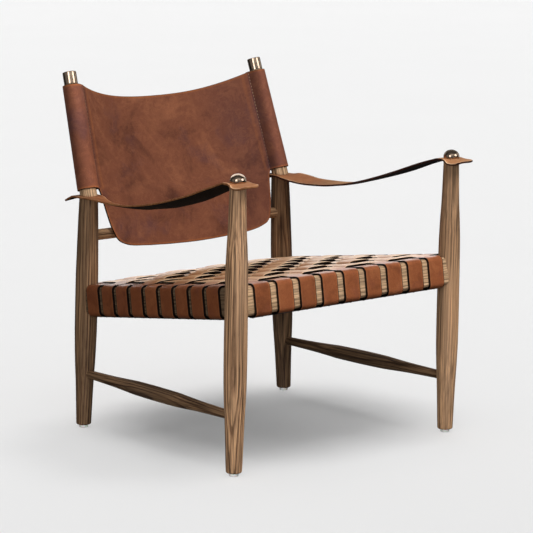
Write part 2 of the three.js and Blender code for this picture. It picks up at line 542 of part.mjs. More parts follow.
for (let i = 1; i <= STRAPS; i++) {
  const path = wrap(-SEAT_HALF, -1);
  for (let j = STRAPS; j >= 1; j--) {
    const z = WRAP_H + ((i + j) % 2 === 0 ? WEAVE : -WEAVE);
    path.push([weftY(j) - WEFT_W / 2 - 1, z], [weftY(j) + WEFT_W / 2 + 1, z]);
  }
  path.push(...wrap(SEAT_HALF, 1).reverse());
  const g = ribbon(path, WARP_W);
  put(`warp_strap_${i}`, mapGeometry(g, (y, z, x) => seatPoint(warpX(i) * fan(y) + x, y, z)), STRAP_LEATHER);
}
for (let j = 1; j <= STRAPS; j++) {
  const y0 = weftY(j), edge = railX(y0);
  const path = wrap(-edge, -1);
  for (let i = 1; i <= STRAPS; i++) {
    const z = WRAP_H + ((i + j) % 2 === 0 ? -WEAVE : WEAVE);
    const x = warpX(i) * fan(y0);
    path.push([x - WARP_W / 2 - 1.7, z], [x + WARP_W / 2 + 1.7, z]);
  }
  path.push(...wrap(edge, 1).reverse());
  const g = ribbon(path, WEFT_W);
  // the ends follow the side rails, which run in towards the rear
  const toe = (RAIL_X_FRONT - RAIL_X_REAR) / (2 * SEAT_HALF);
  put(`weft_strap_${j}`, mapGeometry(g, (x, z, d) => {
    const y = -d;
    const k = Math.max(0, Math.min(1, (Math.abs(x) - edge + 20) / 6));
    return seatPoint(x - Math.sign(x) * k * toe * y, y0 + y, z);
  }), STRAP_LEATHER);
}

// tack strips under the rails hold the strap ends
const STRIP_Z = -(WRAP_H + STRAP_T / 2 + GAP + STRIP_T / 2);
const stripInward = 5;
for (const [name, y] of [['front', -SEAT_HALF + stripInward], ['rear', SEAT_HALF - stripInward]]) {
  const half = (WARP_PITCH * (STRAPS - 1) / 2) * fan(y) + WARP_W / 2 - 4;
  put(`${name}_tack_strip`, mapGeometry(block(2 * half, STRIP_W, STRIP_T, 0, 0, 0),
    (x, dy, z) => seatPoint(x, y + dy, STRIP_Z + z)), STEEL);
}
for (const [name, side] of SIDES) {
  const half = WEFT_PITCH * (STRAPS - 1) / 2 + WEFT_W / 2 - 4;
  put(`${name}_tack_strip`, mapGeometry(block(STRIP_W, 2 * half, STRIP_T, 0, 0, 0),
    (dx, y, z) => seatPoint(side * (railX(y) - stripInward) + dx, y, STRIP_Z + z)), STEEL);
}

export default chair;
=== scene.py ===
import json
import math
import bmesh
import bpy
import numpy as np
from mathutils import Matrix, Vector, kdtree, noise

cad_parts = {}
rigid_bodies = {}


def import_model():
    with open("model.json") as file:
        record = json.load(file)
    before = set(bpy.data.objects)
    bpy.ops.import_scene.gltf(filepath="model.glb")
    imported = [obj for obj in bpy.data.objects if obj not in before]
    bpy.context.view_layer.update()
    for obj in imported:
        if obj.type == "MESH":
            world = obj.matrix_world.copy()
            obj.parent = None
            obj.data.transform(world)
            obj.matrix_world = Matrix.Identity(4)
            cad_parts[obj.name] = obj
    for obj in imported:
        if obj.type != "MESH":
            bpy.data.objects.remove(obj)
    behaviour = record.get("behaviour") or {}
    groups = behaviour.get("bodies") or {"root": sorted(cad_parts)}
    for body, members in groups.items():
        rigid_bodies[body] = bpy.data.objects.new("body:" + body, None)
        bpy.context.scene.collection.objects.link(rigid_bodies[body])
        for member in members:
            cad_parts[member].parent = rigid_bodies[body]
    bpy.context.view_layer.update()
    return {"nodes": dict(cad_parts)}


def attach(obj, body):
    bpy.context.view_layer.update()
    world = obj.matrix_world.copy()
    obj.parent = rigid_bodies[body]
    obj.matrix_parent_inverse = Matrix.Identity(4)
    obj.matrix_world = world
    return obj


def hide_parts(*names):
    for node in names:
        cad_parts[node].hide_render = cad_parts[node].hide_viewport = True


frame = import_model()
scene = bpy.context.scene

# ------------------------------------------------------------------ dimensions
# Millimetres, measured from midway between the feet; at() turns them into metres in the shared frame.
ORIGIN_Y = -31.0
STRAP_T = 4.0
FRONT_FOOT, FRONT_TOP, FRONT_TOP_Z = (304.5, -270.1), (302.1, -277.9), 611.2
REAR_FOOT, REAR_TOP, REAR_TOP_Z = (294.8, 270.1), (277.6, 267.9), 517.5
FRONT_PROFILE = [(26, 17.7), (71, 19.1), (116, 20.8), (161, 22.9), (206, 24.2), (268, 24.5), (340, 24.2), (431, 23.4),
                 (476, 21.8), (521, 19.4), (566, 18.0), (611.2, 16.9)]
REAR_PROFILE = [(33, 17.5), (65, 18.6), (106, 20.2), (151, 22.6), (196, 24.1), (230, 24.8), (331, 25.0), (398, 23.9),
                (460, 22.5), (490, 21.6), (517.5, 20.6)]
POST_BASE, POST_TIP = np.array((277.6, 267.9, 522.1)), np.array((266.0, 353.5, 787.0))
POST_LEN = float(np.linalg.norm(POST_TIP - POST_BASE))
POST_R0, POST_R1, CAP_H = 19.0, 15.3, 28.0
KNOB_R, KNOB_H, KNOB_Z = 17.5, 18.0, 615.8
DOWEL_Z = 519.8
SIDES = (("left", -1), ("right", 1))
LEAN = math.atan2(POST_TIP[1] - POST_BASE[1], POST_TIP[2] - POST_BASE[2])
TILT = math.radians(8.3)
SEAT_HALF, RAIL_T, RAIL_H, RAIL_R = 274.4, 30.0, 62.0, 10.0
RAIL_X_FRONT, RAIL_X_REAR = 303.1, 285.2
WARP_W, WARP_PITCH, WEFT_W, WEFT_PITCH = 44.6, 61.6, 44.0, 54.83
WEAVE = 2.15
WRAP_T, WRAP_H, WRAP_R = 17.3, 33.3, 10.3


def at(points):
    """Millimetres to metres in the shared frame."""
    p = np.array(points, float)
    p[..., 1] += ORIGIN_Y
    return p * 0.001


def pchip(xs, ys):
    """A smooth curve through points that adds no bumps of its own."""
    xs, ys = np.array(xs, float), np.array(ys, float)
    h = np.diff(xs)
    d = np.diff(ys) / h
    m = np.zeros(len(xs))
    m[0], m[-1] = d[0], d[-1]
    for i in range(1, len(xs) - 1):
        if d[i - 1] * d[i] > 0:
            a, b = 2 * h[i] + h[i - 1], h[i] + 2 * h[i - 1]
            m[i] = (a + b) / (a / d[i - 1] + b / d[i])

    def f(x):
        x = np.clip(np.asarray(x, float), xs[0], xs[-1])
        i = np.clip(np.searchsorted(xs, x, side="right") - 1, 0, len(h) - 1)
        t = (x - xs[i]) / h[i]
        return ((1 + 2 * t) * (1 - t) ** 2 * ys[i] + t * (1 - t) ** 2 * h[i] * m[i]
                + t * t * (3 - 2 * t) * ys[i + 1] + t * t * (t - 1) * h[i] * m[i + 1])
    return f


def smooth(t):
    t = np.clip(t, 0, 1)
    return t * t * (3 - 2 * t)


def unit(v):
    v = np.asarray(v, float)
    return v / np.linalg.norm(v)


# -------------------------------------------------------------------- materials
class Shader:
    """A node tree with short names for the nodes that the materials use."""

    def __init__(self, name):
        self.m = bpy.data.materials.new(name)
        self.m.use_nodes = True
        self.t = self.m.node_tree
        self.t.nodes.clear()
        out = self.t.nodes.new("ShaderNodeOutputMaterial")
        self.b = self.t.nodes.new("ShaderNodeBsdfPrincipled")
        self.t.links.new(self.b.outputs[0], out.inputs[0])

    def put(self, socket, v):
        if isinstance(v, bpy.types.NodeSocket):
            self.t.links.new(v, socket)
        elif v is not None:
            if hasattr(socket.default_value, "__len__") and hasattr(v, "__len__") and len(socket.default_value) == 4 and len(v) == 3:
                v = (*v, 1)
            socket.default_value = v

    def set(self, **sockets):
        for k, v in sockets.items():
            self.put(self.b.inputs[k.replace("_", " ")], v)

    def attr(self, name, out="Vector"):
        n = self.t.nodes.new("ShaderNodeAttribute")
        n.attribute_name = name
        return n.outputs[out]

    def place(self):
        return self.t.nodes.new("ShaderNodeTexCoord").outputs["Object"]

    def math(self, op, a, b=None, c=None, clamp=False):
        n = self.t.nodes.new("ShaderNodeMath")
        n.operation = op
        n.use_clamp = clamp
        for i, v in enumerate((a, b, c)):
            self.put(n.inputs[i], v)
        return n.outputs[0]

    def vmath(self, op, a, b=None):
        n = self.t.nodes.new("ShaderNodeVectorMath")
        n.operation = op
        self.put(n.inputs[0], a)
        self.put(n.inputs[1], b)
        return n.outputs["Value"] if op in ("LENGTH", "DOT_PRODUCT", "DISTANCE") else n.outputs["Vector"]

    def noise(self, vec, scale=1.0, detail=2.0, rough=0.5, distort=0.0):
        n = self.t.nodes.new("ShaderNodeTexNoise")
        self.put(n.inputs["Vector"], vec)
        self.put(n.inputs["Scale"], scale)
        n.inputs["Detail"].default_value = detail
        n.inputs["Roughness"].default_value = rough
        n.inputs["Distortion"].default_value = distort
        return n.outputs[0]

    def cells(self, vec, scale, feature="F1", rand=1.0):
        n = self.t.nodes.new("ShaderNodeTexVoronoi")
        n.feature = feature
        self.put(n.inputs["Vector"], vec)
        n.inputs["Scale"].default_value = scale
        n.inputs["Randomness"].default_value = rand
        return n.outputs["Distance"]

    def ramp(self, fac, *stops):
        n = self.t.nodes.new("ShaderNodeValToRGB")
        self.put(n.inputs[0], fac)
        e = n.color_ramp.elements
        while len(e) < len(stops):
            e.new(0.5)
        for el, (pos, col) in zip(e, stops):
            el.position = pos
            el.color = (*col, 1) if hasattr(col, "__len__") else (col, col, col, 1)
        return n.outputs[0]

    def mix(self, fac, a, b, blend="MIX"):
        n = self.t.nodes.new("ShaderNodeMix")
        n.data_type = "RGBA"
        n.blend_type = blend
        self.put(n.inputs[0], fac)
        self.put(n.inputs[6], a)
        self.put(n.inputs[7], b)
        return n.outputs[2]

    def span(self, v, a, b, c=0.0, d=1.0, kind="LINEAR"):
        n = self.t.nodes.new("ShaderNodeMapRange")
        n.interpolation_type = kind
        for i, x in enumerate((v, a, b, c, d)):
            self.put(n.inputs[i], x)
        return n.outputs[0]

    def value(self, colour, factor):
        n = self.t.nodes.new("ShaderNodeHueSaturation")
        self.put(n.inputs["Color"], colour)
        self.put(n.inputs["Value"], factor)
        return n.outputs[0]

    def bump(self, height, strength, distance, normal=None):
        n = self.t.nodes.new("ShaderNodeBump")
        n.inputs["Strength"].default_value = strength
        n.inputs["Distance"].default_value = distance
        self.put(n.inputs["Height"], height)
        if normal is not None:
            self.put(n.inputs["Normal"], normal)
        return n.outputs[0]


def wood(name, light, mid, dark, grey, ring=0.0042, rough=0.56):
    """Ring-porous wood: growth rings about a pith beside the piece, pores drawn out along the grain, and streaks."""
    s = Shader(name)
    flow = s.attr("flow")
    tone = s.attr("tone", "Fac")
    flat = s.vmath("MULTIPLY", flow, (1, 1, 0))
    wob = s.noise(s.vmath("MULTIPLY", flow, (14, 14, 3.0)), 1, 2.0, 0.5)
    wob2 = s.noise(s.vmath("MULTIPLY", flow, (55, 55, 9)), 1, 2.0, 0.5)
    r = s.vmath("LENGTH", flat)
    r = s.math("ADD", r, s.math("MULTIPLY", s.math("SUBTRACT", wob, 0.5), 0.020))
    r = s.math("ADD", r, s.math("MULTIPLY", s.math("SUBTRACT", wob2, 0.5), 0.0030))
    rings = s.math("FRACT", s.math("DIVIDE", r, ring))
    early = s.ramp(rings, (0.0, 1.0), (0.17, 0.90), (0.36, 0.22), (0.58, 0.0), (0.91, 0.05), (1.0, 1.0))
    early = s.math("MULTIPLY", early, s.span(s.noise(s.vmath("MULTIPLY", flow, (46, 46, 5)), 1, 3.0, 0.6), 0.34, 0.66, 0.45, 1.0))
    early = s.math("MULTIPLY", early, s.math("SUBTRACT", 1.0, s.attr("plain", "Fac")))
    pores = s.noise(s.vmath("MULTIPLY", flow, (1500, 1500, 42)), 1, 2.0, 0.55)
    pores = s.span(pores, 0.53, 0.64)
    pores = s.math("MULTIPLY", pores, s.math("MULTIPLY_ADD", early, 0.8, 0.16), clamp=True)
    fibre = s.noise(s.vmath("MULTIPLY", flow, (330, 330, 2.4)), 1, 3.0, 0.66)
    hair = s.noise(s.vmath("MULTIPLY", flow, (240, 240, 2.0)), 1, 2.0, 0.55)
    streak = s.noise(s.vmath("MULTIPLY", flow, (95, 95, 2.2)), 1, 3.0, 0.62)
    wide = s.noise(s.vmath("MULTIPLY", flow, (26, 26, 3.4)), 1, 3.0, 0.55)
    late = tuple(0.24 * m + 0.76 * d for m, d in zip(mid, dark))
    base = s.ramp(early, (0.0, light), (0.25, tuple(0.5 * (m + q) for m, q in zip(mid, light))), (0.55, mid), (1.0, late))
    base = s.mix(s.span(wide, 0.42, 0.70, 0.0, 0.60), base, grey)
    base = s.mix(s.span(streak, 0.57, 0.74, 0.0, 0.75), base, dark)
    base = s.mix(s.span(streak, 0.47, 0.30, 0.0, 0.50), base, light)
    base = s.mix(s.span(hair, 0.55, 0.67, 0.0, 0.72), base, late)
    base = s.value(base, s.span(fibre, 0.30, 0.70, 0.38, 1.56))
    base = s.mix(s.math("MULTIPLY", pores, 0.85), base, dark)
    base = s.value(base, tone)
    height = s.math("SUBTRACT", s.math("MULTIPLY", fibre, 0.35), s.math("ADD", pores, s.math("MULTIPLY", early, 0.25)))
    s.set(Base_Color=base, Roughness=s.span(streak, 0.3, 0.7, rough - 0.09, rough + 0.1), Specular_IOR_Level=0.38,
          Normal=s.bump(height, 0.5, 0.00045))
    return s.m


def leather(name, dark, mid, light, tint, rim_colour, rough=0.46, mottle=1.0, gloss=0.24, painted_shade_colour=(0.036, 0.0075, 0.0058)):
    """Pull-up leather: cloudy tone, plum and tan patches, pores, fine creases and a lighter rub along the cut edges; on
    top come a tan that is partly wear and partly painted sheen, a painted highlight by the cut edges, painted shade,
    and painted light and shade on the sling's sleeves.
    """
    s = Shader(name)
    pos = s.place()
    tone = s.attr("tone", "Fac")
    rim = s.attr("rim", "Fac")
    flow = s.attr("flow")
    shifted = s.vmath("ADD", pos, s.vmath("MULTIPLY", s.vmath("ADD", (0, 0, 0), tone), (7.3, 3.1, 5.7)))
    cloud = s.noise(shifted, 7.5 * mottle, 5.0, 0.62, 0.7)
    patch = s.noise(s.vmath("ADD", shifted, (3.7, 1.9, 8.2)), 13 * mottle, 4.0, 0.6, 0.4)
    small = s.noise(shifted, 62, 4.0, 0.65, 0.3)
    fine = s.noise(pos, 620, 3.0, 0.6)
    base = s.ramp(cloud, (0.30, dark), (0.47, mid), (0.56, mid), (0.73, light))
    base = s.mix(s.span(patch, 0.55, 0.74, 0.0, 0.62), base, tint)
    base = s.mix(s.span(patch, 0.45, 0.28, 0.0, 0.5), base, light)
    base = s.mix(s.span(small, 0.56, 0.76, 0.0, 0.40), base, dark)
    base = s.mix(s.span(small, 0.44, 0.26, 0.0, 0.34), base, light)
    vein = s.noise(s.vmath("ADD", shifted, (5.1, 0.7, 2.9)), 21 * mottle, 5.0, 0.72, 1.5)
    vein = s.span(s.math("ABSOLUTE", s.math("SUBTRACT", vein, 0.5)), 0.0, 0.045, 0.42, 0.0)
    base = s.mix(s.math("MULTIPLY", vein, s.span(cloud, 0.38, 0.60, 0.25, 1.0)), base, light)
    lines = s.noise(s.vmath("MULTIPLY", flow, (240, 26, 240)), 1, 3.0, 0.6, 0.5)
    base = s.mix(s.span(lines, 0.60, 0.74, 0.0, 0.22), base, dark)
    rub = s.span(s.math("ADD", rim, s.math("MULTIPLY", s.math("SUBTRACT", small, 0.5), 0.006)), 0.0005, 0.0072, 1.0, 0.0, "SMOOTHSTEP")
    base = s.mix(s.math("MULTIPLY", rub, 0.62), base, rim_colour)
    # a tan mix on the tops of the straps, partly wear and partly painted sheen
    worn = s.math("MULTIPLY", s.attr("worn", "Fac"), s.span(patch, 0.3, 0.65, 0.85, 0.5))
    base = s.mix(worn, base, (0.64, 0.395, 0.195))
    # painted highlight: a cream line just inside the cut edges where that tan is strong
    base = s.mix(s.math("MULTIPLY", worn, s.span(rim, 0.0012, 0.0042, 1.0, 0.0)), base, (0.92, 0.74, 0.52))
    # painted shade: dips under crossing straps, the sling's seam creases and its right side are drawn darker
    deep = s.math("MULTIPLY", s.attr("deep", "Fac"), s.span(small, 0.3, 0.7, 0.95, 0.7))
    base = s.mix(deep, base, painted_shade_colour)
    # painted light and shade: the sling's sleeves are drawn paler where they round the posts and darker in the fold
    # beside the right seam
    base = s.value(base, s.math("ADD", s.attr("lift", "Fac"), 1.0))
    base = s.value(base, s.span(fine, 0.3, 0.7, 0.86, 1.13))
    base = s.value(base, tone)
    pore = s.cells(pos, 780)
    pore2 = s.cells(s.vmath("MULTIPLY", pos, (1.0, 1.0, 1.25)), 390, "SMOOTH_F1")
    crease = s.noise(pos, 150, 5.0, 0.7, 1.1)
    height = s.math("ADD", s.math("MULTIPLY", pore, 0.55), s.math("ADD", s.math("MULTIPLY", pore2, 0.45), s.math("MULTIPLY", crease, 0.8)))
    rougher = s.math("ADD", s.span(small, 0.3, 0.7, rough - 0.07, rough + 0.09), s.span(fine, 0.3, 0.7, -0.04, 0.05))
    s.set(Base_Color=base, Roughness=rougher, Specular_IOR_Level=gloss, Normal=s.bump(height, 0.28, 0.0006))
    return s.m


def edge_paint():
    s = Shader("edge_paint")
    pos = s.place()
    n = s.noise(pos, 180, 4.0, 0.6)
    f = s.noise(pos, 900, 3.0, 0.6)
    base = s.ramp(n, (0.3, (0.0060, 0.0030, 0.0025)), (0.6, (0.0115, 0.0055, 0.0042)), (0.85, (0.034, 0.014, 0.009)))
    s.set(Base_Color=base, Roughness=s.span(f, 0.3, 0.7, 0.42, 0.62), Specular_IOR_Level=0.3, Normal=s.bump(f, 0.25, 0.0004))
    return s.m


def burnished(name, dark, mid, light):
    """A cut edge rubbed smooth and left brown, with darker lines in its layers."""
    s = Shader(name)
    pos = s.place()
    n = s.noise(pos, 120, 4.0, 0.6)
    f = s.noise(pos, 800, 3.0, 0.6)
    base = s.ramp(n, (0.30, dark), (0.50, mid), (0.70, light))
    base = s.value(base, s.span(f, 0.3, 0.7, 0.85, 1.12))
    s.set(Base_Color=base, Roughness=s.span(f, 0.3, 0.7, 0.45, 0.65), Specular_IOR_Level=0.2, Normal=s.bump(f, 0.2, 0.0003))
    return s.m


def flesh(name, a, b):
    """The napped back of the hide."""
    s = Shader(name)
    pos = s.place()
    n = s.noise(pos, 26, 5.0, 0.65, 0.5)
    f = s.noise(pos, 1100, 4.0, 0.7)
    base = s.mix(s.span(n, 0.3, 0.72), a, b)
    base = s.value(base, s.span(f, 0.25, 0.75, 0.6, 1.5))
    s.set(Base_Color=base, Roughness=s.span(f, 0.3, 0.7, 0.82, 0.96), Specular_IOR_Level=0.08, Sheen_Weight=0.02,
          Normal=s.bump(f, 0.5, 0.0005))
    return s.m


def metal(name, colour, stain, rough, along=False):
    s = Shader(name)
    pos = s.place()
    n = s.noise(pos, 85, 5.0, 0.65, 0.4)
    f = s.noise(s.vmath("MULTIPLY", pos, (1, 1, 14) if along else (1, 1, 1)), 420, 3.0, 0.6)
    base = s.mix(s.span(n, 0.46, 0.78, 0.0, 0.7), colour, stain)
    base = s.value(base, s.span(f, 0.3, 0.7, 0.9, 1.08))
    s.set(Base_Color=base, Metallic=1.0, Roughness=s.math("ADD", s.span(n, 0.35, 0.75, rough, rough + 0.12), s.span(f, 0.3, 0.7, -0.02, 0.03)),
          Normal=s.bump(f, 0.06, 0.0003))
    return s.m


def plastic(name, colour, rough):
    s = Shader(name)
    pos = s.place()
    f = s.noise(pos, 500, 3.0, 0.6)
    n = s.noise(pos, 60, 4.0, 0.6)
    base = s.value(colour, s.span(n, 0.3, 0.7, 0.9, 1.06))
    s.set(Base_Color=base, Roughness=s.span(f, 0.3, 0.7, rough - 0.06, rough + 0.08), Subsurface_Weight=0.15, Subsurface_Scale=0.004,
          Normal=s.bump(f, 0.12, 0.0002))
    return s.m


def thread(name):
    s = Shader(name)
    pos = s.place()
    f = s.noise(pos, 1900, 3.0, 0.6)
    n = s.noise(pos, 70, 3.0, 0.6)
    base = s.mix(s.span(n, 0.3, 0.7), (0.47, 0.27, 0.13), (0.62, 0.40, 0.22))
    base = s.value(base, s.span(f, 0.3, 0.7, 0.75, 1.2))
    s.set(Base_Color=base, Roughness=s.span(f, 0.3, 0.7, 0.6, 0.8), Sheen_Weight=0.1, Normal=s.bump(f, 0.5, 0.0003))
    return s.m


FRAME_WOOD = wood("oiled_wood", (0.545, 0.318, 0.170), (0.245, 0.128, 0.066), (0.024, 0.012, 0.007), (0.235, 0.156, 0.103), ring=0.0060)
RAIL_WOOD = wood("bare_wood", (0.59, 0.385, 0.222), (0.41, 0.250, 0.138), (0.11, 0.066, 0.038), (0.46, 0.320, 0.208), rough=0.64)
SLING = leather("pull_up_hide", (0.084, 0.031, 0.020), (0.175, 0.062, 0.035), (0.290, 0.111, 0.056), (0.106, 0.046, 0.045), (0.36, 0.120, 0.040), rough=0.52, gloss=0.09, painted_shade_colour=(0.030, 0.021, 0.033))
STRAP = leather("bridle_leather", (0.165, 0.050, 0.021), (0.262, 0.081, 0.032), (0.345, 0.118, 0.047), (0.200, 0.064, 0.039), (0.43, 0.158, 0.062), rough=0.44, mottle=2.0, gloss=0.14)
EDGE = edge_paint()
BURNISHED = burnished("burnished_edge", (0.22, 0.085, 0.034), (0.31, 0.128, 0.052), (0.40, 0.185, 0.080))
DARK_BURNISHED = burnished("dark_burnished_edge", (0.020, 0.0060, 0.0042), (0.038, 0.0115, 0.0075), (0.090, 0.030, 0.016))
STRAP_BACK = flesh("strap_back", (0.0021, 0.0029, 0.0042), (0.0042, 0.0052, 0.0068))
SLING_BACK = flesh("sling_back", (0.135, 0.066, 0.038), (0.215, 0.110, 0.064))
BRASS = metal("polished_bronze", (0.62, 0.465, 0.345), (0.32, 0.21, 0.14), 0.10)
STEEL = metal("zinc_steel", (0.55, 0.55, 0.54), (0.38, 0.37, 0.35), 0.30, along=True)
TACK = metal("blued_steel", (0.24, 0.235, 0.23), (0.13, 0.12, 0.11), 0.42, along=True)
GLIDE = plastic("pale_nylon", (0.74, 0.74, 0.71), 0.38)
THREAD = thread("linen_thread")


# ---------------------------------------------------------------------- meshes
def piece(name, verts, faces, mats, body="frame", replaces=(), index=None, flow=None, tone=1.0, rim=None, bevel=None):
    me = bpy.data.meshes.new(name)
    me.from_pydata([tuple(v) for v in np.asarray(verts, float)], [], [tuple(int(i) for i in f) for f in faces])
    for m in mats:
        me.materials.append(m)
    if index is not None:
        me.polygons.foreach_set("material_index", np.asarray(index, np.int32))
    if flow is not None:
        a = me.attributes.new("flow", "FLOAT_VECTOR", "POINT")
        a.data.foreach_set("vector", np.asarray(flow, np.float32).ravel())
    a = me.attributes.new("tone", "FLOAT", "POINT")
    a.data.foreach_set("value", np.full(len(me.vertices), tone, np.float32))
    if rim is not None:
        a = me.attributes.new("rim", "FLOAT", "POINT")
        a.data.foreach_set("value", np.asarray(rim, np.float32))
    me.polygons.foreach_set("use_smooth", np.ones(len(me.polygons), bool))
    me.update()
    o = bpy.data.objects.new(name, me)
    scene.collection.objects.link(o)
    bm = bmesh.new()
    bm.from_mesh(me)
    bmesh.ops.recalc_face_normals(bm, faces=bm.faces)
    bm.to_mesh(me)
    bm.free()
    return finish_piece(o, body, replaces)


def finish_piece(o, body, replaces=()):
    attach(o, body)
    if replaces:
        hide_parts(*replaces)
    return o


def apply_modifiers(o):
    dg = bpy.context.evaluated_depsgraph_get()
    bpy.context.view_layer.update()
    me = bpy.data.meshes.new_from_object(o.evaluated_get(dg), preserve_all_data_layers=True, depsgraph=dg)
    old = o.data
    o.modifiers.clear()
    o.data = me
    name = old.name
    bpy.data.meshes.remove(old)
    me.name = name
    return o


def rings_mesh(rings):
    """A closed skin over rings of points; the first and last ring shrink to a point on their middle."""
    n = len(rings[0])
    verts = np.concatenate([np.asarray(r, float) for r in rings] + [np.mean(rings[0], 0, keepdims=True), np.mean(rings[-1], 0, keepdims=True)])
    faces = []
    for i in range(len(rings) - 1):
        for k in range(n):
            a, b = i * n + k, i * n + (k + 1) % n
            faces.append((a, b, b + n, a + n))
    first, last = len(rings) * n, len(rings) * n + 1
    o = (len(rings) - 1) * n
    for k in range(n):
        faces.append((first, (k + 1) % n, k))
        faces.append((last, o + k, o + (k + 1) % n))
    return verts, faces


def fillet(points, radii, steps=5):
    """A profile of (along, radius) with its corners rounded."""
    pts = [np.array(p, float) for p in points]
    out = [pts[0]]
    for i in range(1, len(pts) - 1):
        r = radii.get(i, 0)
        a, b, c = pts[i - 1], pts[i], pts[i + 1]
        la, lc = np.linalg.norm(a - b), np.linalg.norm(c - b)
        if r <= 0 or la < 1e-6 or lc < 1e-6:
            out.append(b)
            continue
        d = min(r, 0.48 * la, 0.48 * lc)
        p, q = b + (a - b) / la * d, b + (c - b) / lc * d
        for k in range(steps + 1):
            t = k / steps
            out.append((1 - t) ** 2 * p + 2 * t * (1 - t) * b + t * t * q)
    out.append(pts[-1])
    return out


def frame_of(direction):
    d = unit(direction)
    e1 = unit(np.cross(d, (0, 1, 0) if abs(d[1]) < 0.9 else (1, 0, 0)))
    return d, e1, np.cross(d, e1)


def turned(name, base, direction, profile, mat, segs=64, body="frame", replaces=(), pith=(0.05, 0.03), shift=0.0, tone=1.0):
    """A turned piece from a profile of (along, radius)."""
    d, e1, e2 = frame_of(direction)
    ang = np.linspace(0, 2 * np.pi, segs, endpoint=False)
    ring = np.outer(np.cos(ang), e1) + np.outer(np.sin(ang), e2)
    rings = [np.asarray(base) + d * s + ring * max(r, 0.02) for s, r in profile]
    verts, faces = rings_mesh(rings)
    rel = verts - np.asarray(base)
    flow = np.stack([rel @ e1, rel @ e2, rel @ d], 1) * 0.001 + np.array((pith[0], pith[1], shift))
    return piece(name, at(verts), faces, [mat], body, replaces, flow=flow, tone=tone)


# ---------------------------------------------------------------------- camera
def make_camera():
    yaw, pitch, roll = math.radians(40.2637), math.radians(10.1641), math.radians(0.3021)
    fwd = np.array((math.sin(yaw) * math.cos(pitch), math.cos(yaw) * math.cos(pitch), -math.sin(pitch)))
    right = np.array((math.cos(yaw), -math.sin(yaw), 0.0))
    up = np.cross(right, fwd)
    r2 = math.cos(roll) * right + math.sin(roll) * up
    u2 = -math.sin(roll) * right + math.cos(roll) * up
    data = bpy.data.cameras.new("camera")
    data.sensor_fit = "HORIZONTAL"
    data.sensor_width = 36.0
    data.lens = 36.0 * 2519.477 / 533.0
    data.clip_start, data.clip_end = 0.05, 200.0
    cam = bpy.data.objects.new("camera", data)
    scene.collection.objects.link(cam)
    m = Matrix.Identity(4)
    for i in range(3):
        m[i][0], m[i][1], m[i][2] = r2[i], u2[i], -fwd[i]
    m.translation = Vector(at((-3529.738, -4179.624, 1350.341)))
    cam.matrix_world = m
    scene.camera = cam


make_camera()


# ------------------------------------------------------------------ wood frame
def axis_at(foot, top, top_z, z, side):
    t = np.asarray(z, float) / top_z
    return np.stack([side * (foot[0] + (top[0] - foot[0]) * t), foot[1] + (top[1] - foot[1]) * t, np.asarray(z, float) + 0 * t], -1)


def front_axis(z, side):
    return axis_at(FRONT_FOOT, FRONT_TOP, FRONT_TOP_Z, z, side)


def rear_axis(z, side):
    return axis_at(REAR_FOOT, REAR_TOP, REAR_TOP_Z, z, side)


def leg(name, axis, side, table, foot_r, top_r, bore, pith, shift, tone, plain):
    radius = pchip([z for z, _ in table], [r for _, r in table])
    top = table[-1][0]
    z0 = 7.3
    first = float(radius(table[0][0])) - 0.35
    profile = [(z0, foot_r - 6), (z0, foot_r)]
    # the foot is eased into the side
    for k in range(1, 9):
        t = k / 8 * math.pi / 2
        profile.append((z0 + 3.6 * (1 - math.cos(t)), foot_r + (first - 0.35 - foot_r) * math.sin(t)))
    for z in np.linspace(table[0][0], top - 2.2, 92):
        profile.append((float(z), float(radius(z))))
    r = float(radius(top))
    for k in range(1, 6):
        t = k / 5 * math.pi / 2
        profile.append((top - 1.2 + 1.2 * math.sin(t), r - 1.2 + 1.2 * math.cos(t)))
    if bore:
        profile += [(top, 7.6), (top - 0.3, 6.6), (top - 0.9, 6.3), (top - 20.5, 6.3), (top - 21, 5.5)]
    else:
        profile += [(top, r - 6)]
    segs = 72
    ang = np.linspace(0, 2 * np.pi, segs, endpoint=False)
    ring = np.stack([np.cos(ang), np.sin(ang), 0 * ang], 1)
    rings = [axis(z, side) + ring * rr for z, rr in profile]
    verts, faces = rings_mesh(rings)
    centre = axis(verts[:, 2], side)
    flow = np.stack([verts[:, 0] - centre[:, 0], verts[:, 1] - centre[:, 1], verts[:, 2]], 1) * 0.001 + np.array((pith[0], pith[1], shift))
    # the tone runs from the foot value to the top value between 280 and 470 mm up, the painted shade at the leg's top
    o = piece(name, at(verts), faces, [FRAME_WOOD], "frame", [name[:-5]], flow=flow, tone=tone[0] + (tone[1] - tone[0]) * smooth((verts[:, 2] - 280) / 190))
    a = o.data.attributes.new("plain", "FLOAT", "POINT")
    a.data.foreach_set("value", np.full(len(o.data.vertices), plain, np.float32))
    return o


# Tone at the foot and at the top: each leg is drawn darker towards its top, painted shade under the arm straps, most on
# the front right and rear right legs.
leg("front_left_leg.wood", front_axis, -1, FRONT_PROFILE, 13.6, 16.9, True, (0.034, 0.030), 0.31, (1.0, 0.90), 0.0)
leg("front_right_leg.wood", front_axis, 1, FRONT_PROFILE, 13.6, 16.9, True, (0.072, -0.046), 1.72, (1.03, 0.64), 0.55)
leg("rear_left_leg.wood", rear_axis, -1, REAR_PROFILE, 13.4, 20.6, False, (-0.061, 0.052), 2.94, (1.0, 0.92), 0.35)
leg("rear_right_leg.wood", rear_axis, 1, REAR_PROFILE, 13.4, 20.6, False, (0.050, 0.066), 4.11, (0.86, 0.46), 0.3)


def post_radius(s):
    return POST_R0 + (POST_R1 - POST_R0) * (s / (POST_LEN - CAP_H))


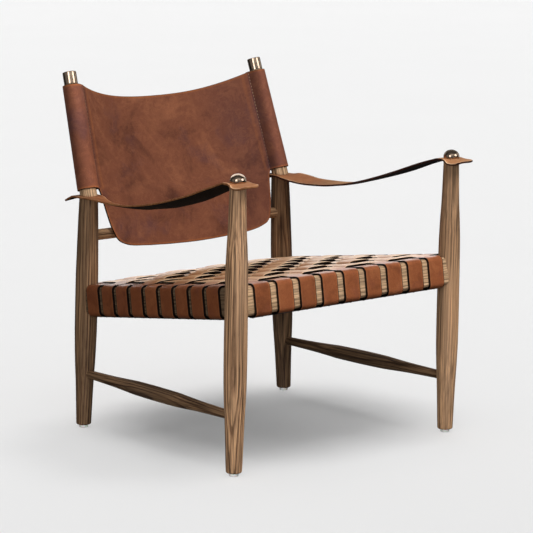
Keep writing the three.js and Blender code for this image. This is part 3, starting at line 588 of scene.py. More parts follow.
for name, side in SIDES:
    mirror = np.array((side, 1, 1))
    base, tip = POST_BASE * mirror, POST_TIP * mirror
    d, e1, e2 = frame_of(tip - base)
    segs = 64
    ang = np.linspace(0, 2 * np.pi, segs, endpoint=False)
    ring = np.outer(np.cos(ang), e1) + np.outer(np.sin(ang), e2)

    def level(scale, z):
        # the foot stands level on the strap
        p = base + ring * POST_R0 * scale
        return p + np.outer((z - p[:, 2]) / d[2], d)
    rings = [level(0.5, 522.1), level(0.955, 522.1), level(0.985, 522.35), level(1.0, 523.1)]
    low = level(1.0, 523.1)
    for s in np.linspace(9, POST_LEN - CAP_H - 1.1, 40):
        full = base + d * s + ring * post_radius(s)
        w = smooth((s - 6) / 8.0)
        rings.append(low * (1 - w) + full * w if w < 1 else full)
    spigot = 13.1
    for s, r in ((POST_LEN - CAP_H - 0.5, 15.0), (POST_LEN - CAP_H - 0.3, spigot + 0.4), (POST_LEN - CAP_H, spigot), (POST_LEN - 5.5, spigot), (POST_LEN - 4.4, spigot - 1)):
        rings.append(base + d * s + ring * r)
    verts, faces = rings_mesh(rings)
    rel = verts - base
    flow = np.stack([rel @ e1, rel @ e2, rel @ d], 1) * 0.001 + np.array((0.044 * side, 0.05, 5.3 + side))
    piece(f"{name}_back_post.wood", at(verts), faces, [RAIL_WOOD], "frame", [f"{name}_back_post"], flow=flow, tone=0.92)

    # dowel between leg and post
    lean = math.radians(8.8)
    dowel = [(-36, 5.6), (-34.8, 7.0)] + [(float(k), 7.0) for k in np.linspace(-30, 26, 15)] + [(29.8, 7.0), (31, 5.6)]
    turned(f"{name}_post_dowel.wood", (side * REAR_TOP[0], REAR_TOP[1], DOWEL_Z), (0, math.sin(lean), math.cos(lean)), dowel, RAIL_WOOD, 40,
           "frame", [f"{name}_post_dowel"], (0.03, 0.02 * side), 15.0 + side, 0.95)

    # cap: a drawn cup with an eased rim
    cap = [(24, 0.02), (24, 13.3), (0.5, 13.4), (0, 13.9), (0, 14.8), (0.5, 15.3), (14, 15.3), (28, 15.3), (28.25, 8), (28.3, 0.02)]
    cap = fillet(cap, {1: 0.8, 5: 0.5, 7: 1.6}, 6)
    turned(f"{name}_post_cap.metal", base + d * (POST_LEN - CAP_H), d, cap, BRASS, 96, "frame", [f"{name}_post_cap"])

    # knob on its stud
    dome = [(11.5, 0.02), (11.5, 4.25), (0.3, 4.3), (0, 4.7), (0, 15.9)]
    for k in range(1, 6):
        t = k / 5 * math.pi / 2
        dome.append((1.4 * (1 - math.cos(t)), 16.1 + 1.4 * math.sin(t)))
    dome.append((2.6, 17.5))
    for k in range(1, 30):
        t = k / 30 * math.pi / 2
        dome.append((3.2 + (KNOB_H - 3.2) * math.sin(t), KNOB_R * math.cos(t)))
    dome.append((KNOB_H, 0.02))
    turned(f"{name}_arm_knob.metal", (side * FRONT_TOP[0], FRONT_TOP[1], KNOB_Z), (0, 0, 1), dome, BRASS, 96,
           f"{name}_knob", [f"{name}_arm_knob"])

    # threaded stud
    rows, turns, pitch, segs2 = 200, 24, 1.25, 28
    ang2 = np.linspace(0, 2 * np.pi, segs2, endpoint=False)
    top = np.array((side * FRONT_TOP[0], FRONT_TOP[1], FRONT_TOP_Z - 15))
    rings = []
    length = 29.6
    for k in range(rows + 1):
        z = length * k / rows
        wave = np.abs(((z / pitch - ang2 / (2 * np.pi)) % 1.0) * 2 - 1)
        ease = min(1.0, z / 1.5 + 0.3, (length - z) / 1.0 + 0.5)
        rr = (4.0 - 0.62 * wave) * (0.8 + 0.2 * ease)
        rings.append(top + np.stack([rr * np.cos(ang2), rr * np.sin(ang2), np.full(segs2, z)], 1))
    verts, faces = rings_mesh(rings)
    piece(f"{name}_knob_stud.thread", at(verts), faces, [STEEL], f"{name}_stud", [f"{name}_knob_stud"])

    # side stretcher
    f, r = front_axis(127.0, side), rear_axis(123.0, side)
    d = unit(r - f)
    a, b = f + d * 8, r - d * 8
    ln = float(np.linalg.norm(b - a))
    rad = pchip([0, .1, .2, .29, .37, .5, .63, .71, .8, .9, 1], [9.3, 10.3, 11.6, 13.7, 15.6, 16.1, 15.6, 13.7, 11.6, 10.3, 9.3])
    prof = [(0, 8.2), (0.3, 9.0)] + [(t * ln, float(rad(t))) for t in np.linspace(0.006, 0.994, 90)] + [(ln - 0.3, 9.0), (ln, 8.2)]
    # the right stretcher is drawn darker than the left, painted shade under the seat
    turned(f"{name}_stretcher.wood", a, d, prof, FRAME_WOOD, 56, "frame", [f"{name}_stretcher"], (0.038, -0.045 * side), 7.1 + side, 1.02 if side < 0 else 0.74)

# back rail
a, b = rear_axis(432.0, -1), rear_axis(432.0, 1)
ln = float(b[0] - a[0])
prof = fillet([(8, 6.8), (8, 8), (19, 8), (19, 12.2), (ln / 2, 12.2), (ln - 19, 12.2), (ln - 19, 8), (ln - 8, 8), (ln - 8, 6.8)], {1: 0.5, 3: 1.0, 5: 1.0, 7: 0.5})
fine = []
for p, q in zip(prof[:-1], prof[1:]):
    n = max(1, int(abs(q[0] - p[0]) / 12))
    fine += [tuple(p + (q - p) * k / n) for k in range(n)]
fine.append(tuple(prof[-1]))
turned("back_rail.wood", a, b - a, fine, FRAME_WOOD, 56, "frame", ["back_rail"], (0.05, 0.03), 9.9, 1.0)


# seat rails
def seat(x, y, z):
    x, y, z = np.broadcast_arrays(np.asarray(x, float), np.asarray(y, float), np.asarray(z, float))
    return np.stack([x, -3.5 + y * math.cos(TILT) + z * math.sin(TILT), 327.5 - y * math.sin(TILT) + z * math.cos(TILT)], -1)


def fan(y):
    return 1 - (1 - RAIL_X_REAR / RAIL_X_FRONT) * (np.asarray(y, float) + SEAT_HALF) / (2 * SEAT_HALF)


def rail_x(y):
    return RAIL_X_FRONT * fan(y)


corner = {(f, s): seat(s * (RAIL_X_FRONT if f else RAIL_X_REAR), -SEAT_HALF if f else SEAT_HALF, 0) for f in (True, False) for s in (-1, 1)}
RAILS = {"front": (corner[True, -1], corner[True, 1]), "rear": (corner[False, -1], corner[False, 1]),
         "left": (corner[True, -1], corner[False, -1]), "right": (corner[True, 1], corner[False, 1])}
for k, (name, (a, b)) in enumerate(RAILS.items()):
    along = unit(b - a)
    up = np.array((0, math.sin(TILT), math.cos(TILT)))
    across = unit(np.cross(up, along))
    up = np.cross(along, across)
    loop = []
    for cx, cy, a0 in ((RAIL_T / 2 - RAIL_R, -RAIL_H / 2 + RAIL_R, -90), (RAIL_T / 2 - RAIL_R, RAIL_H / 2 - RAIL_R, 0),
                       (-RAIL_T / 2 + RAIL_R, RAIL_H / 2 - RAIL_R, 90), (-RAIL_T / 2 + RAIL_R, -RAIL_H / 2 + RAIL_R, 180)):
        for j in range(9):
            t = math.radians(a0 + 90 * j / 8)
            loop.append((cx + RAIL_R * math.cos(t), cy + RAIL_R * math.sin(t)))
        if a0 in (-90, 90):
            s = 1 if a0 == -90 else -1
            loop += [(cx + RAIL_R * s, cy * t2) for t2 in (0.5, 0.0, -0.5)]
    loop = np.array(loop)
    ln = float(np.linalg.norm(b - a))
    rings = []
    for s, shrink in [(17.0, 0.6), (17.0, 0.985), (17.4, 1.0)] + [(float(t), 1.0) for t in np.linspace(24, ln - 24, 46)] + [(ln - 17.4, 1.0), (ln - 17.0, 0.985), (ln - 17.0, 0.6)]:
        rings.append(a + along * s + np.outer(loop[:, 0] * shrink, across) + np.outer(loop[:, 1] * shrink, up))
    verts, faces = rings_mesh(rings)
    rel = verts - a
    flow = np.stack([rel @ across, rel @ up, rel @ along], 1) * 0.001 + np.array((0.09, 0.055 + 0.01 * k, 11.0 + 1.7 * k))
    # the side rails are drawn far darker than the front and rear rails, painted shade in the gaps between the side
    # straps
    piece(f"{name}_seat_rail.wood", at(verts), faces, [RAIL_WOOD], "frame", [f"{name}_seat_rail"], flow=flow, tone=0.40 if name in ("left", "right") else 1.10)

# foot glides
for name, side in SIDES:
    for end, axis in (("front", front_axis), ("rear", rear_axis)):
        foot = axis(0.0, side)
        prof = fillet([(2.5, 0.02), (2.5, 2.2), (7, 2.2), (7, 9.0), (6.2, 10.0), (1.2, 10.0), (0, 8.9), (0, 0.02)], {1: 0.3, 2: 0.3, 3: 0.7, 4: 0.5, 5: 0.9, 6: 0.8}, 4)
        turned(f"{end}_{name}_glide.disc", (foot[0], foot[1], 0.0), (0, 0, 1), prof, GLIDE, 48, "frame", [f"{end}_{name}_glide"])

# tack strips with their tacks
STRIP_Z = -(WRAP_H + STRAP_T / 2 + 0.3 + 0.8)


def tack_strip(name, place, half, tacks):
    """A thin steel strip with a domed tack head every so often, drawn in (along, across, down) of the strip."""
    verts, faces = [], []

    def add(vs, fs):
        o = len(verts)
        verts.extend(vs)
        faces.extend([tuple(i + o for i in f) for f in fs])
    loop = [(-6, -0.5), (-5.7, -0.8), (5.7, -0.8), (6, -0.5), (6, 0.5), (5.7, 0.8), (-5.7, 0.8), (-6, 0.5)]
    rings = [[(s, c, h) for c, h in loop] for s in np.linspace(-half, half, 60)]
    v, f = rings_mesh([np.array(r) for r in rings])
    add([tuple(p) for p in v], f)
    for s in tacks:
        prof = [(-0.5, 3.0), (0.1, 3.3)] + [(0.1 + 1.0 * math.sin(t), 3.3 * math.cos(t)) for t in np.linspace(0.3, 1.5, 5)]
        rings = [[(s + r * math.cos(q), r * math.sin(q), -0.8 - h) for q in np.linspace(0, 2 * math.pi, 14, endpoint=False)] for h, r in prof]
        v, f = rings_mesh([np.array(r) for r in rings])
        add([tuple(p) for p in v], f)
    verts = np.array(verts)
    piece(f"{name}_tack_strip.steel", at(place(verts)), faces, [TACK], "frame", [f"{name}_tack_strip"])


for name, y in (("front", -SEAT_HALF + 5), ("rear", SEAT_HALF - 5)):
    half = float(WARP_PITCH * 4 * fan(y) + WARP_W / 2 - 5.1)
    tacks = [(i - 5) * WARP_PITCH * float(fan(y)) + o for i in range(1, 10) for o in (-12, 12)]
    tack_strip(name, lambda v, y=y: seat(v[:, 0], y + v[:, 1], STRIP_Z + v[:, 2]), half, tacks)
for name, side in SIDES:
    half = WEFT_PITCH * 4 + WEFT_W / 2 - 4
    tacks = [(5 - j) * WEFT_PITCH + o for j in range(1, 10) for o in (-12, 12)]
    tack_strip(name, lambda v, side=side: seat(side * (rail_x(v[:, 0]) - 5) + v[:, 1], v[:, 0], STRIP_Z + v[:, 2]), half, tacks)


# ------------------------------------------------------------------ woven seat
def section(half, t=STRAP_T, rt=1.25, rb=0.9):
    """One turn round a strap's section: (across, height, which face comes next)."""
    pts = []
    inner = half - 6.5
    pts.append((-half, -t / 2 + rb, 1))
    pts.append((-half, t / 2 - rt, 1))
    for a in (30, 60):
        q = math.radians(a)
        pts.append((-half + rt - rt * math.cos(q), t / 2 - rt + rt * math.sin(q), 1 if a < 45 else 3))
    pts.append((-half + rt, t / 2, 3))
    pts.append((-half + 2.3, t / 2 + 0.08, 0))
    pts.append((-half + 3.6, t / 2 + 0.14, 0))
    for k in (-1, -0.5, 0, 0.5, 1):
        pts.append((k * inner, t / 2 + 0.22, 0))
    pts.append((half - 3.6, t / 2 + 0.14, 0))
    pts.append((half - 2.3, t / 2 + 0.08, 3))
    pts.append((half - rt, t / 2, 3))
    for a in (60, 30):
        q = math.radians(a)
        pts.append((half - rt + rt * math.cos(q), t / 2 - rt + rt * math.sin(q), 3 if a > 45 else 1))
    pts.append((half, t / 2 - rt, 1))
    pts.append((half, -t / 2 + rb, 1))
    pts.append((half - 0.3 * rb, -t / 2 + 0.3 * rb, 2))
    pts.append((half - rb, -t / 2, 2))
    for k in (1, 0, -1):
        pts.append((k * inner, -t / 2, 2))
    pts.append((-half + rb, -t / 2, 2))
    pts.append((-half + 0.3 * rb, -t / 2 + 0.3 * rb, 1))
    return pts


def weave_path(centres, heights, width, edge, margin, arch, dip):
    """(along, height) of a strap from under one rail, over the weave and round to the other, every 3 mm or so."""
    def wrap(out):
        c = out * edge
        pts = [(c - out * 11, -WRAP_H), (c - out * 4, -WRAP_H)]
        for cz, start in ((-WRAP_H + WRAP_R, -90), (WRAP_H - WRAP_R, 0)):
            for k in range(10):
                t = math.radians(start + 10 * k)
                pts.append((c + out * (WRAP_T - WRAP_R + WRAP_R * math.cos(t)), cz + WRAP_R * math.sin(t)))
            if start == -90:
                pts += [(c + out * WRAP_T, z) for z in np.linspace(-WRAP_H + WRAP_R, WRAP_H - WRAP_R, 7)[1:-1]]
        return pts
    first, last = wrap(-1), wrap(1)
    x0, x1 = -edge + 14, edge - 14
    knots, zs = [x0 - 8, x0], [0.0, 0.0]
    for c, h in zip(centres, heights):
        knots += [c - width / 2 - margin, c + width / 2 + margin]
        zs += [h, h]
    knots += [x1, x1 + 8]
    zs += [0.0, 0.0]
    f = pchip(knots, zs)
    rise = [arch * (0.42 if k in (0, len(centres) - 1) else 0.8 if k in (1, len(centres) - 2) else 1.0) for k in range(len(centres))]
    middle, worn, deep = [], [], []
    for x in np.arange(x0, x1 + 0.1, (x1 - x0) / round((x1 - x0) / 3.0)):
        z = float(f(x))
        for c, h, up in zip(centres, heights, rise):
            bulge = max(0.0, 1 - abs((x - c) / (width / 2 + (13 if h > 0 else 5))) ** (3.4 if h > 0 else 2))
            z += up * bulge if h > 0 else -dip * bulge
        # the tops of the over-crossings are drawn tan, partly wear and partly painted sheen
        up = max([max(0.0, 1 - ((x - c) / (width / 2 + 9)) ** 2) for c, h in zip(centres, heights) if h > 0] + [0.0])
        middle.append((float(x), WRAP_H + z))
        worn.append(0.25 + 0.75 * up)
        # painted shade: the strap is drawn dark maroon where it dips under a crossing strap
        deep.append(max([float(smooth((width / 2 + 11 - abs(x - c)) / 6)) for c, h in zip(centres, heights) if h < 0] + [0.0]))
    ends = [0.0] * len(first)
    worn = np.convolve(np.pad(np.array(ends + worn + ends), 3, mode="edge"), np.ones(7) / 7, mode="valid")
    return np.array(first + middle + last[::-1]), worn, np.array(ends + deep + ends)


def strap(name, route, half, place, tone, offset, node):
    path, worn, deep = route
    tangent = np.gradient(path, axis=0)
    tangent /= np.linalg.norm(tangent, axis=1, keepdims=True)
    normal = np.stack([-tangent[:, 1], tangent[:, 0]], 1)
    along = np.concatenate([[0], np.cumsum(np.linalg.norm(np.diff(path, axis=0), axis=1))])
    sec = section(half)
    n, m = len(path), len(sec)
    p = np.array([s[0] for s in sec])
    q = np.array([s[1] for s in sec])
    P = np.broadcast_to(p, (n, m))
    D = path[:, 0:1] + normal[:, 0:1] * q
    Z = path[:, 1:2] + normal[:, 1:2] * q
    verts = place(P, D, Z).reshape(-1, 3)
    flow = np.stack([P + 0 * D, np.broadcast_to(along[:, None], (n, m)), np.broadcast_to(q, (n, m))], -1).reshape(-1, 3) * 0.001 + np.array(offset)
    rim = (half - np.abs(P)).reshape(-1) * 0.001
    faces, index = [], []
    for i in range(n - 1):
        for k in range(m):
            a, b = i * m + k, i * m + (k + 1) % m
            faces.append((a, b, b + m, a + m))
            index.append(sec[k][2] if sec[k][2] < 3 else (0 if worn[i] > 0.3 else 1))
    faces.append(tuple(range(m))[::-1])
    faces.append(tuple(range((n - 1) * m, n * m)))
    index += [1, 1]
    o = piece(name, at(verts), faces, [STRAP, EDGE, STRAP_BACK], "frame", [node], index, flow, tone, rim)
    a = o.data.attributes.new("worn", "FLOAT", "POINT")
    a.data.foreach_set("value", np.repeat(worn, m).astype(np.float32))
    a = o.data.attributes.new("deep", "FLOAT", "POINT")
    a.data.foreach_set("value", np.repeat(deep, m).astype(np.float32))
    return o


def warp_x(i):
    return (i - 5) * WARP_PITCH


def weft_y(j):
    return (5 - j) * WEFT_PITCH


WARP_TONE = [0, 0.93, 1.06, 0.95, 1.05, 1.08, 0.98, 1.03, 1.0, 1.06]
WEFT_TONE = [0, 1.02, 0.95, 1.04, 0.98, 1.05, 0.93, 1.0, 0.96, 1.03]
for i in range(1, 10):
    js = list(range(9, 0, -1))
    path = weave_path([weft_y(j) for j in js], [WEAVE if (i + j) % 2 == 0 else -WEAVE for j in js], WEFT_W, SEAT_HALF, 1.0, 0.4, 0.6)
    strap(f"warp_strap_{i}.leather", path, WARP_W / 2, lambda p, d, z, i=i: seat(warp_x(i) * fan(d) + p, d, z),
          WARP_TONE[i], (0.3 * i, 1.7 * i, 0), f"warp_strap_{i}")
TOE = (RAIL_X_FRONT - RAIL_X_REAR) / (2 * SEAT_HALF)
for j in range(1, 10):
    y0 = weft_y(j) + (3.0 if j == 1 else 0.0)
    edge = float(rail_x(y0))
    path = weave_path([warp_x(i) * float(fan(y0)) for i in range(1, 10)], [-WEAVE if (i + j) % 2 == 0 else WEAVE for i in range(1, 10)], WARP_W, edge, 1.7, {9: 1.8, 8: 5.4, 2: 5.6, 1: 3.2}.get(j, 7.2), 1.4)

    def place(p, d, z, y0=y0, edge=edge):
        k = np.clip((np.abs(d) - edge + 20) / 6, 0, 1)
        return seat(d - np.sign(d) * k * TOE * -p, y0 - p, z)
    strap(f"weft_strap_{j}.leather", path, WEFT_W / 2 + (1.2 if j == 1 else 0.0), place, WEFT_TONE[j], (0.3 * j + 4, 1.3 * j, 0), f"weft_strap_{j}")


# ------------------------------------------------------------------ arm straps
ARM_HALF = 28.0
ARM = {
    "left": [(-330, 611.6, 0), (-315, 612.9, 0), (-302, 613.4, 0), (-278, 613.5, 0), (-262, 613.2, -1.0), (-249, 607.4, -6.6), (-225, 598.3, -8.6),
             (-200, 589.6, -9.8), (-140, 567.9, -12.3), (-80, 550.6, -13.2), (-20, 535.9, -12.6), (40, 525.1, -11.3), (100, 516.9, -12.1),
             (160, 514.1, -13.2), (205, 514.7, -12.9), (232, 517.0, -9.5), (247, 519.6, -1.5), (268, 519.8, 0), (291, 519.8, 0)],
    "right": [(-330, 611.6, 0), (-315, 612.9, 0), (-302, 613.4, 0), (-278, 613.5, 0), (-262, 613.2, -0.5), (-249, 609.8, -0.8), (-225, 603.0, -0.6),
              (-200, 595.1, -0.5), (-140, 573.7, -1.2), (-80, 554.5, 0.1), (-20, 537.5, 1.2), (40, 523.4, 0.6), (100, 517.0, 4.4),
              (160, 515.0, 7.1), (205, 518.0, 10.2), (232, 519.7, 9.0), (247, 519.9, 1.5), (268, 519.8, 0), (291, 519.8, 0)],
}
ARM_TAIL = [(302, 517.8, 2.0), (315, 514.4, 5.0), (325, 511.2, 6.5), (335, 507.6, 7.0), (344, 504.2, 7.0)]


def arm_strap(name, side, tone):
    table = ARM[name] + [(y, z, -side * t) for y, z, t in ARM_TAIL]
    zc = pchip([t[0] for t in table], [t[1] for t in table])
    tc = pchip([t[0] for t in table], [t[2] for t in table])
    us = np.sin(np.linspace(-1, 1, 27) * math.pi / 2) * 0.55 + np.linspace(-1, 1, 27) * 0.45
    rows = []
    for v in np.linspace(1, 0, 13)[:-1]:
        rows.append((ARM_HALF * us * np.sqrt(1 - v * v / 2), -302 - ARM_HALF * v * np.sqrt(1 - us * us / 2)))
    for y in np.linspace(-302, 315, 176):
        rows.append((ARM_HALF * us, np.full_like(us, y)))
    for v in np.linspace(0, 1, 13)[1:]:
        rows.append((ARM_HALF * us * np.sqrt(1 - v * v / 2), 315 + ARM_HALF * v * np.sqrt(1 - us * us / 2)))
    P = np.array([r[0] for r in rows])
    Y = np.array([r[1] for r in rows])
    e = 1.0
    dz = (zc(Y + e) - zc(Y - e)) / (2 * e)
    dz = (dz + (zc(Y + 4) - zc(Y - 4)) / 8) / 2
    ay, az = 1 / np.sqrt(1 + dz * dz), dz / np.sqrt(1 + dz * dz)
    th = np.radians((tc(Y) + tc(Y + 6) + tc(Y - 6)) / 3)
    cx = side * (302.1 - 24.5 * (Y + 277.9) / 545.8)
    # the free corners of the front end hang, more on the -X side
    bump = smooth((-275 - Y) / 20) * (1 - 0.5 * smooth((-314 - Y) / 16))
    hang = -bump * np.where(P < 0, 8.0 if side < 0 else 9.0, 2.2) * np.clip((np.abs(P) - 5) / 23, 0, 1) ** 1.8
    tail = smooth((Y - 292) / 30) * -1.6 * (P / ARM_HALF) ** 2
    dish = -0.9 * (1 - (P / ARM_HALF) ** 2) * smooth((Y + 250) / 60) * smooth((230 - Y) / 60)
    bow = hang + tail + dish
    X = cx + np.cos(th) * P - np.sin(th) * bow
    YY = Y + (-az) * (np.sin(th) * P + np.cos(th) * bow)
    Z = zc(Y) + ay * (np.sin(th) * P + np.cos(th) * bow)
    return grid_sheet(f"{name}_arm_strap.leather", np.stack([X, YY, Z], -1), np.stack([P, Y, 0 * P], -1), [STRAP, BURNISHED if side < 0 else DARK_BURNISHED, STRAP_BACK], tone)


def grid_sheet(name, grid, flat, mats, tone):
    n, m = grid.shape[:2]
    faces = [(i * m + k, i * m + k + 1, (i + 1) * m + k + 1, (i + 1) * m + k) for i in range(n - 1) for k in range(m - 1)]
    # the straps are drawn paler along their edges, a painted highlight, and at both ends; the right arm's middle gets a
    # painted highlight too
    worn = (0.14 if name.startswith("left") else 0.24) + 0.30 * np.exp(-((ARM_HALF - np.abs(flat[..., 0])) / 3.5) ** 2) + 0.20 * smooth((-238 - flat[..., 1]) / 30) + 0.16 * smooth((flat[..., 1] - 262) / 30)
    if name.startswith("right"):
        worn = worn + 0.36 * np.exp(-((flat[..., 1] - 70) / 58) ** 2)
    return sheet_solid(name, grid.reshape(-1, 3), faces, flat.reshape(-1, 3), mats, tone, worn=worn.ravel())


def sheet_solid(name, mid, faces, flat, mats, tone, thick=STRAP_T, bevel=1.15, deep=None, worn=None, lift=None):
    """A hide from its middle surface: grain side, painted cut edge and flesh side, with eased edges."""
    me = bpy.data.meshes.new(name)
    me.from_pydata([tuple(v) for v in at(mid)], [], [tuple(int(i) for i in f) for f in faces])
    for m in mats:
        me.materials.append(m)
    count = {}
    for f in faces:
        for a, b in zip(f, f[1:] + f[:1]):
            key = (min(a, b), max(a, b))
            count[key] = count.get(key, 0) + 1
    rim_edges = [e for e, c in count.items() if c == 1]
    pts = []
    fl = np.asarray(flat, float)
    for a, b in rim_edges:
        pts += [mid[a], (np.asarray(mid[a]) + np.asarray(mid[b])) / 2]
    tree = kdtree.KDTree(len(pts))
    for i, p in enumerate(pts):
        tree.insert(Vector(p), i)
    tree.balance()
    rim = np.array([tree.find(Vector(p))[2] for p in mid]) * 0.001
    at1 = me.attributes.new("flow", "FLOAT_VECTOR", "POINT")
    at1.data.foreach_set("vector", (fl * 0.001).astype(np.float32).ravel())
    at2 = me.attributes.new("tone", "FLOAT", "POINT")
    at2.data.foreach_set("value", np.full(len(mid), tone, np.float32))
    at3 = me.attributes.new("rim", "FLOAT", "POINT")
    at3.data.foreach_set("value", rim.astype(np.float32))
    for key, values in (("deep", deep), ("worn", worn), ("lift", lift)):
        if values is not None:
            at4 = me.attributes.new(key, "FLOAT", "POINT")
            at4.data.foreach_set("value", np.asarray(values, np.float32))
    me.polygons.foreach_set("use_smooth", np.ones(len(me.polygons), bool))
    me.update()
    o = bpy.data.objects.new(name, me)
    scene.collection.objects.link(o)
    s = o.modifiers.new("thickness", "SOLIDIFY")
    s.thickness = thick * 0.001
    s.offset = 0.0
    s.use_even_offset = True
    s.use_rim = True
    s.material_offset = 2
    s.material_offset_rim = 1
    if bevel:
        b = o.modifiers.new("eased", "BEVEL")
        b.width = bevel * 0.001
        b.segments = 3
        b.limit_method = "ANGLE"
        b.angle_limit = math.radians(55)
        b.use_clamp_overlap = False
        b.harden_normals = False
        b.material = 1
    apply_modifiers(o)
    return o


def punch(o, cutters):
    for i, (c, d, r, depth) in enumerate(cutters):
        verts, faces = rings_mesh([np.asarray(c) + unit(d) * s + r * (np.outer(np.cos(q), frame_of(d)[1]) + np.outer(np.sin(q), frame_of(d)[2]))
                                   for q in [np.linspace(0, 2 * np.pi, 28, endpoint=False)] for s in (-depth, depth)])
        me = bpy.data.meshes.new(f"{o.name}_cut{i}")
        me.from_pydata([tuple(v) for v in at(verts)], [], faces)
        bm = bmesh.new()
        bm.from_mesh(me)
        bmesh.ops.recalc_face_normals(bm, faces=bm.faces)
        bm.to_mesh(me)
        bm.free()
        cut = bpy.data.objects.new(f"{o.name}_cut{i}", me)
        scene.collection.objects.link(cut)
        b = o.modifiers.new("hole", "BOOLEAN")
        b.operation = "DIFFERENCE"
        b.object = cut
        b.solver = "EXACT"
        apply_modifiers(o)
        bpy.data.objects.remove(cut)
        bpy.data.meshes.remove(me)


for name, side in SIDES:
    o = arm_strap(name, side, 1.16 if side < 0 else 1.2)
    punch(o, [((side * FRONT_TOP[0], FRONT_TOP[1], 613.5), (0, 0, 1), 4.6, 12),
              ((side * REAR_TOP[0], REAR_TOP[1], DOWEL_Z), (0, math.sin(math.radians(8.8)), math.cos(math.radians(8.8))), 7.5, 12)])
    finish_piece(o, "frame", [f"{name}_arm_strap"])


# ------------------------------------------------------------------ back sling
SLEEVE_Z0, SLEEVE_TOP = 533.2, 757.4
SEAM = 28.5


def sling_point(x, z, depth):
    x, z, depth = np.broadcast_arrays(np.asarray(x, float), np.asarray(z, float), np.asarray(depth, float))
    return np.stack([x, 267.9 + (z - 522.1) * math.tan(LEAN) + depth * math.cos(LEAN), z - depth * math.sin(LEAN)], -1)


def post_x(z):
    return 277.6 - 11.6 * (np.asarray(z, float) - 522.1) / 264.9


def seam_x(z):
    return post_x(z) - SEAM


def panel_depth(x, z):
    """Depth of the hide's middle behind the plane of the posts; at the seam it lies just in front of it."""
    x, z = np.asarray(x, float), np.asarray(z, float)
    u = np.minimum(1, np.abs(x) / seam_x(np.maximum(z, SLEEVE_Z0)))
    rise = np.clip((z - 520) / (757 - 520), 0, 1)
    middle = np.sqrt(10.5 ** 2 + (60 ** 2 - 10.5 ** 2) * rise)
    held = np.clip((z - 450) / 85, 0, 1)
    held = held * held * (3 - 2 * held) * 0.5 + held * 0.5
    bowed = middle * (1 - u ** 2.6) - 2.1 * u ** 5
    flat = 10.5 * (1 - 0.3 * u ** 4)
    depth = flat * (1 - held) + bowed * held
    ripple = np.array([noise.noise(Vector((a * 0.011, b * 0.009, 3.3))) * 0.9 + noise.noise(Vector((a * 0.03, b * 0.022, 9.1))) * 0.35
                       for a, b in zip(x.ravel(), z.ravel())]).reshape(x.shape)
    groove = 0.75 * np.exp(-((np.abs(x) - seam_x(z)) / 2.6) ** 2) * smooth((z - SLEEVE_Z0 + 6) / 6)
    return depth + ripple * (1 - u ** 8) + groove


def sling_top(x):
    return 757 - 25 * (1 - np.minimum(1, np.abs(np.asarray(x, float)) / 247) ** 2.4)


def along_curve(points, shares):
    pts = np.array(points, float)
    s = np.concatenate([[0], np.cumsum(np.linalg.norm(np.diff(pts, axis=0), axis=1))])
    s /= s[-1]
    fx, fz = pchip(s, pts[:, 0]), pchip(s, pts[:, 1])
    return np.stack([fx(shares), fz(shares)], -1)


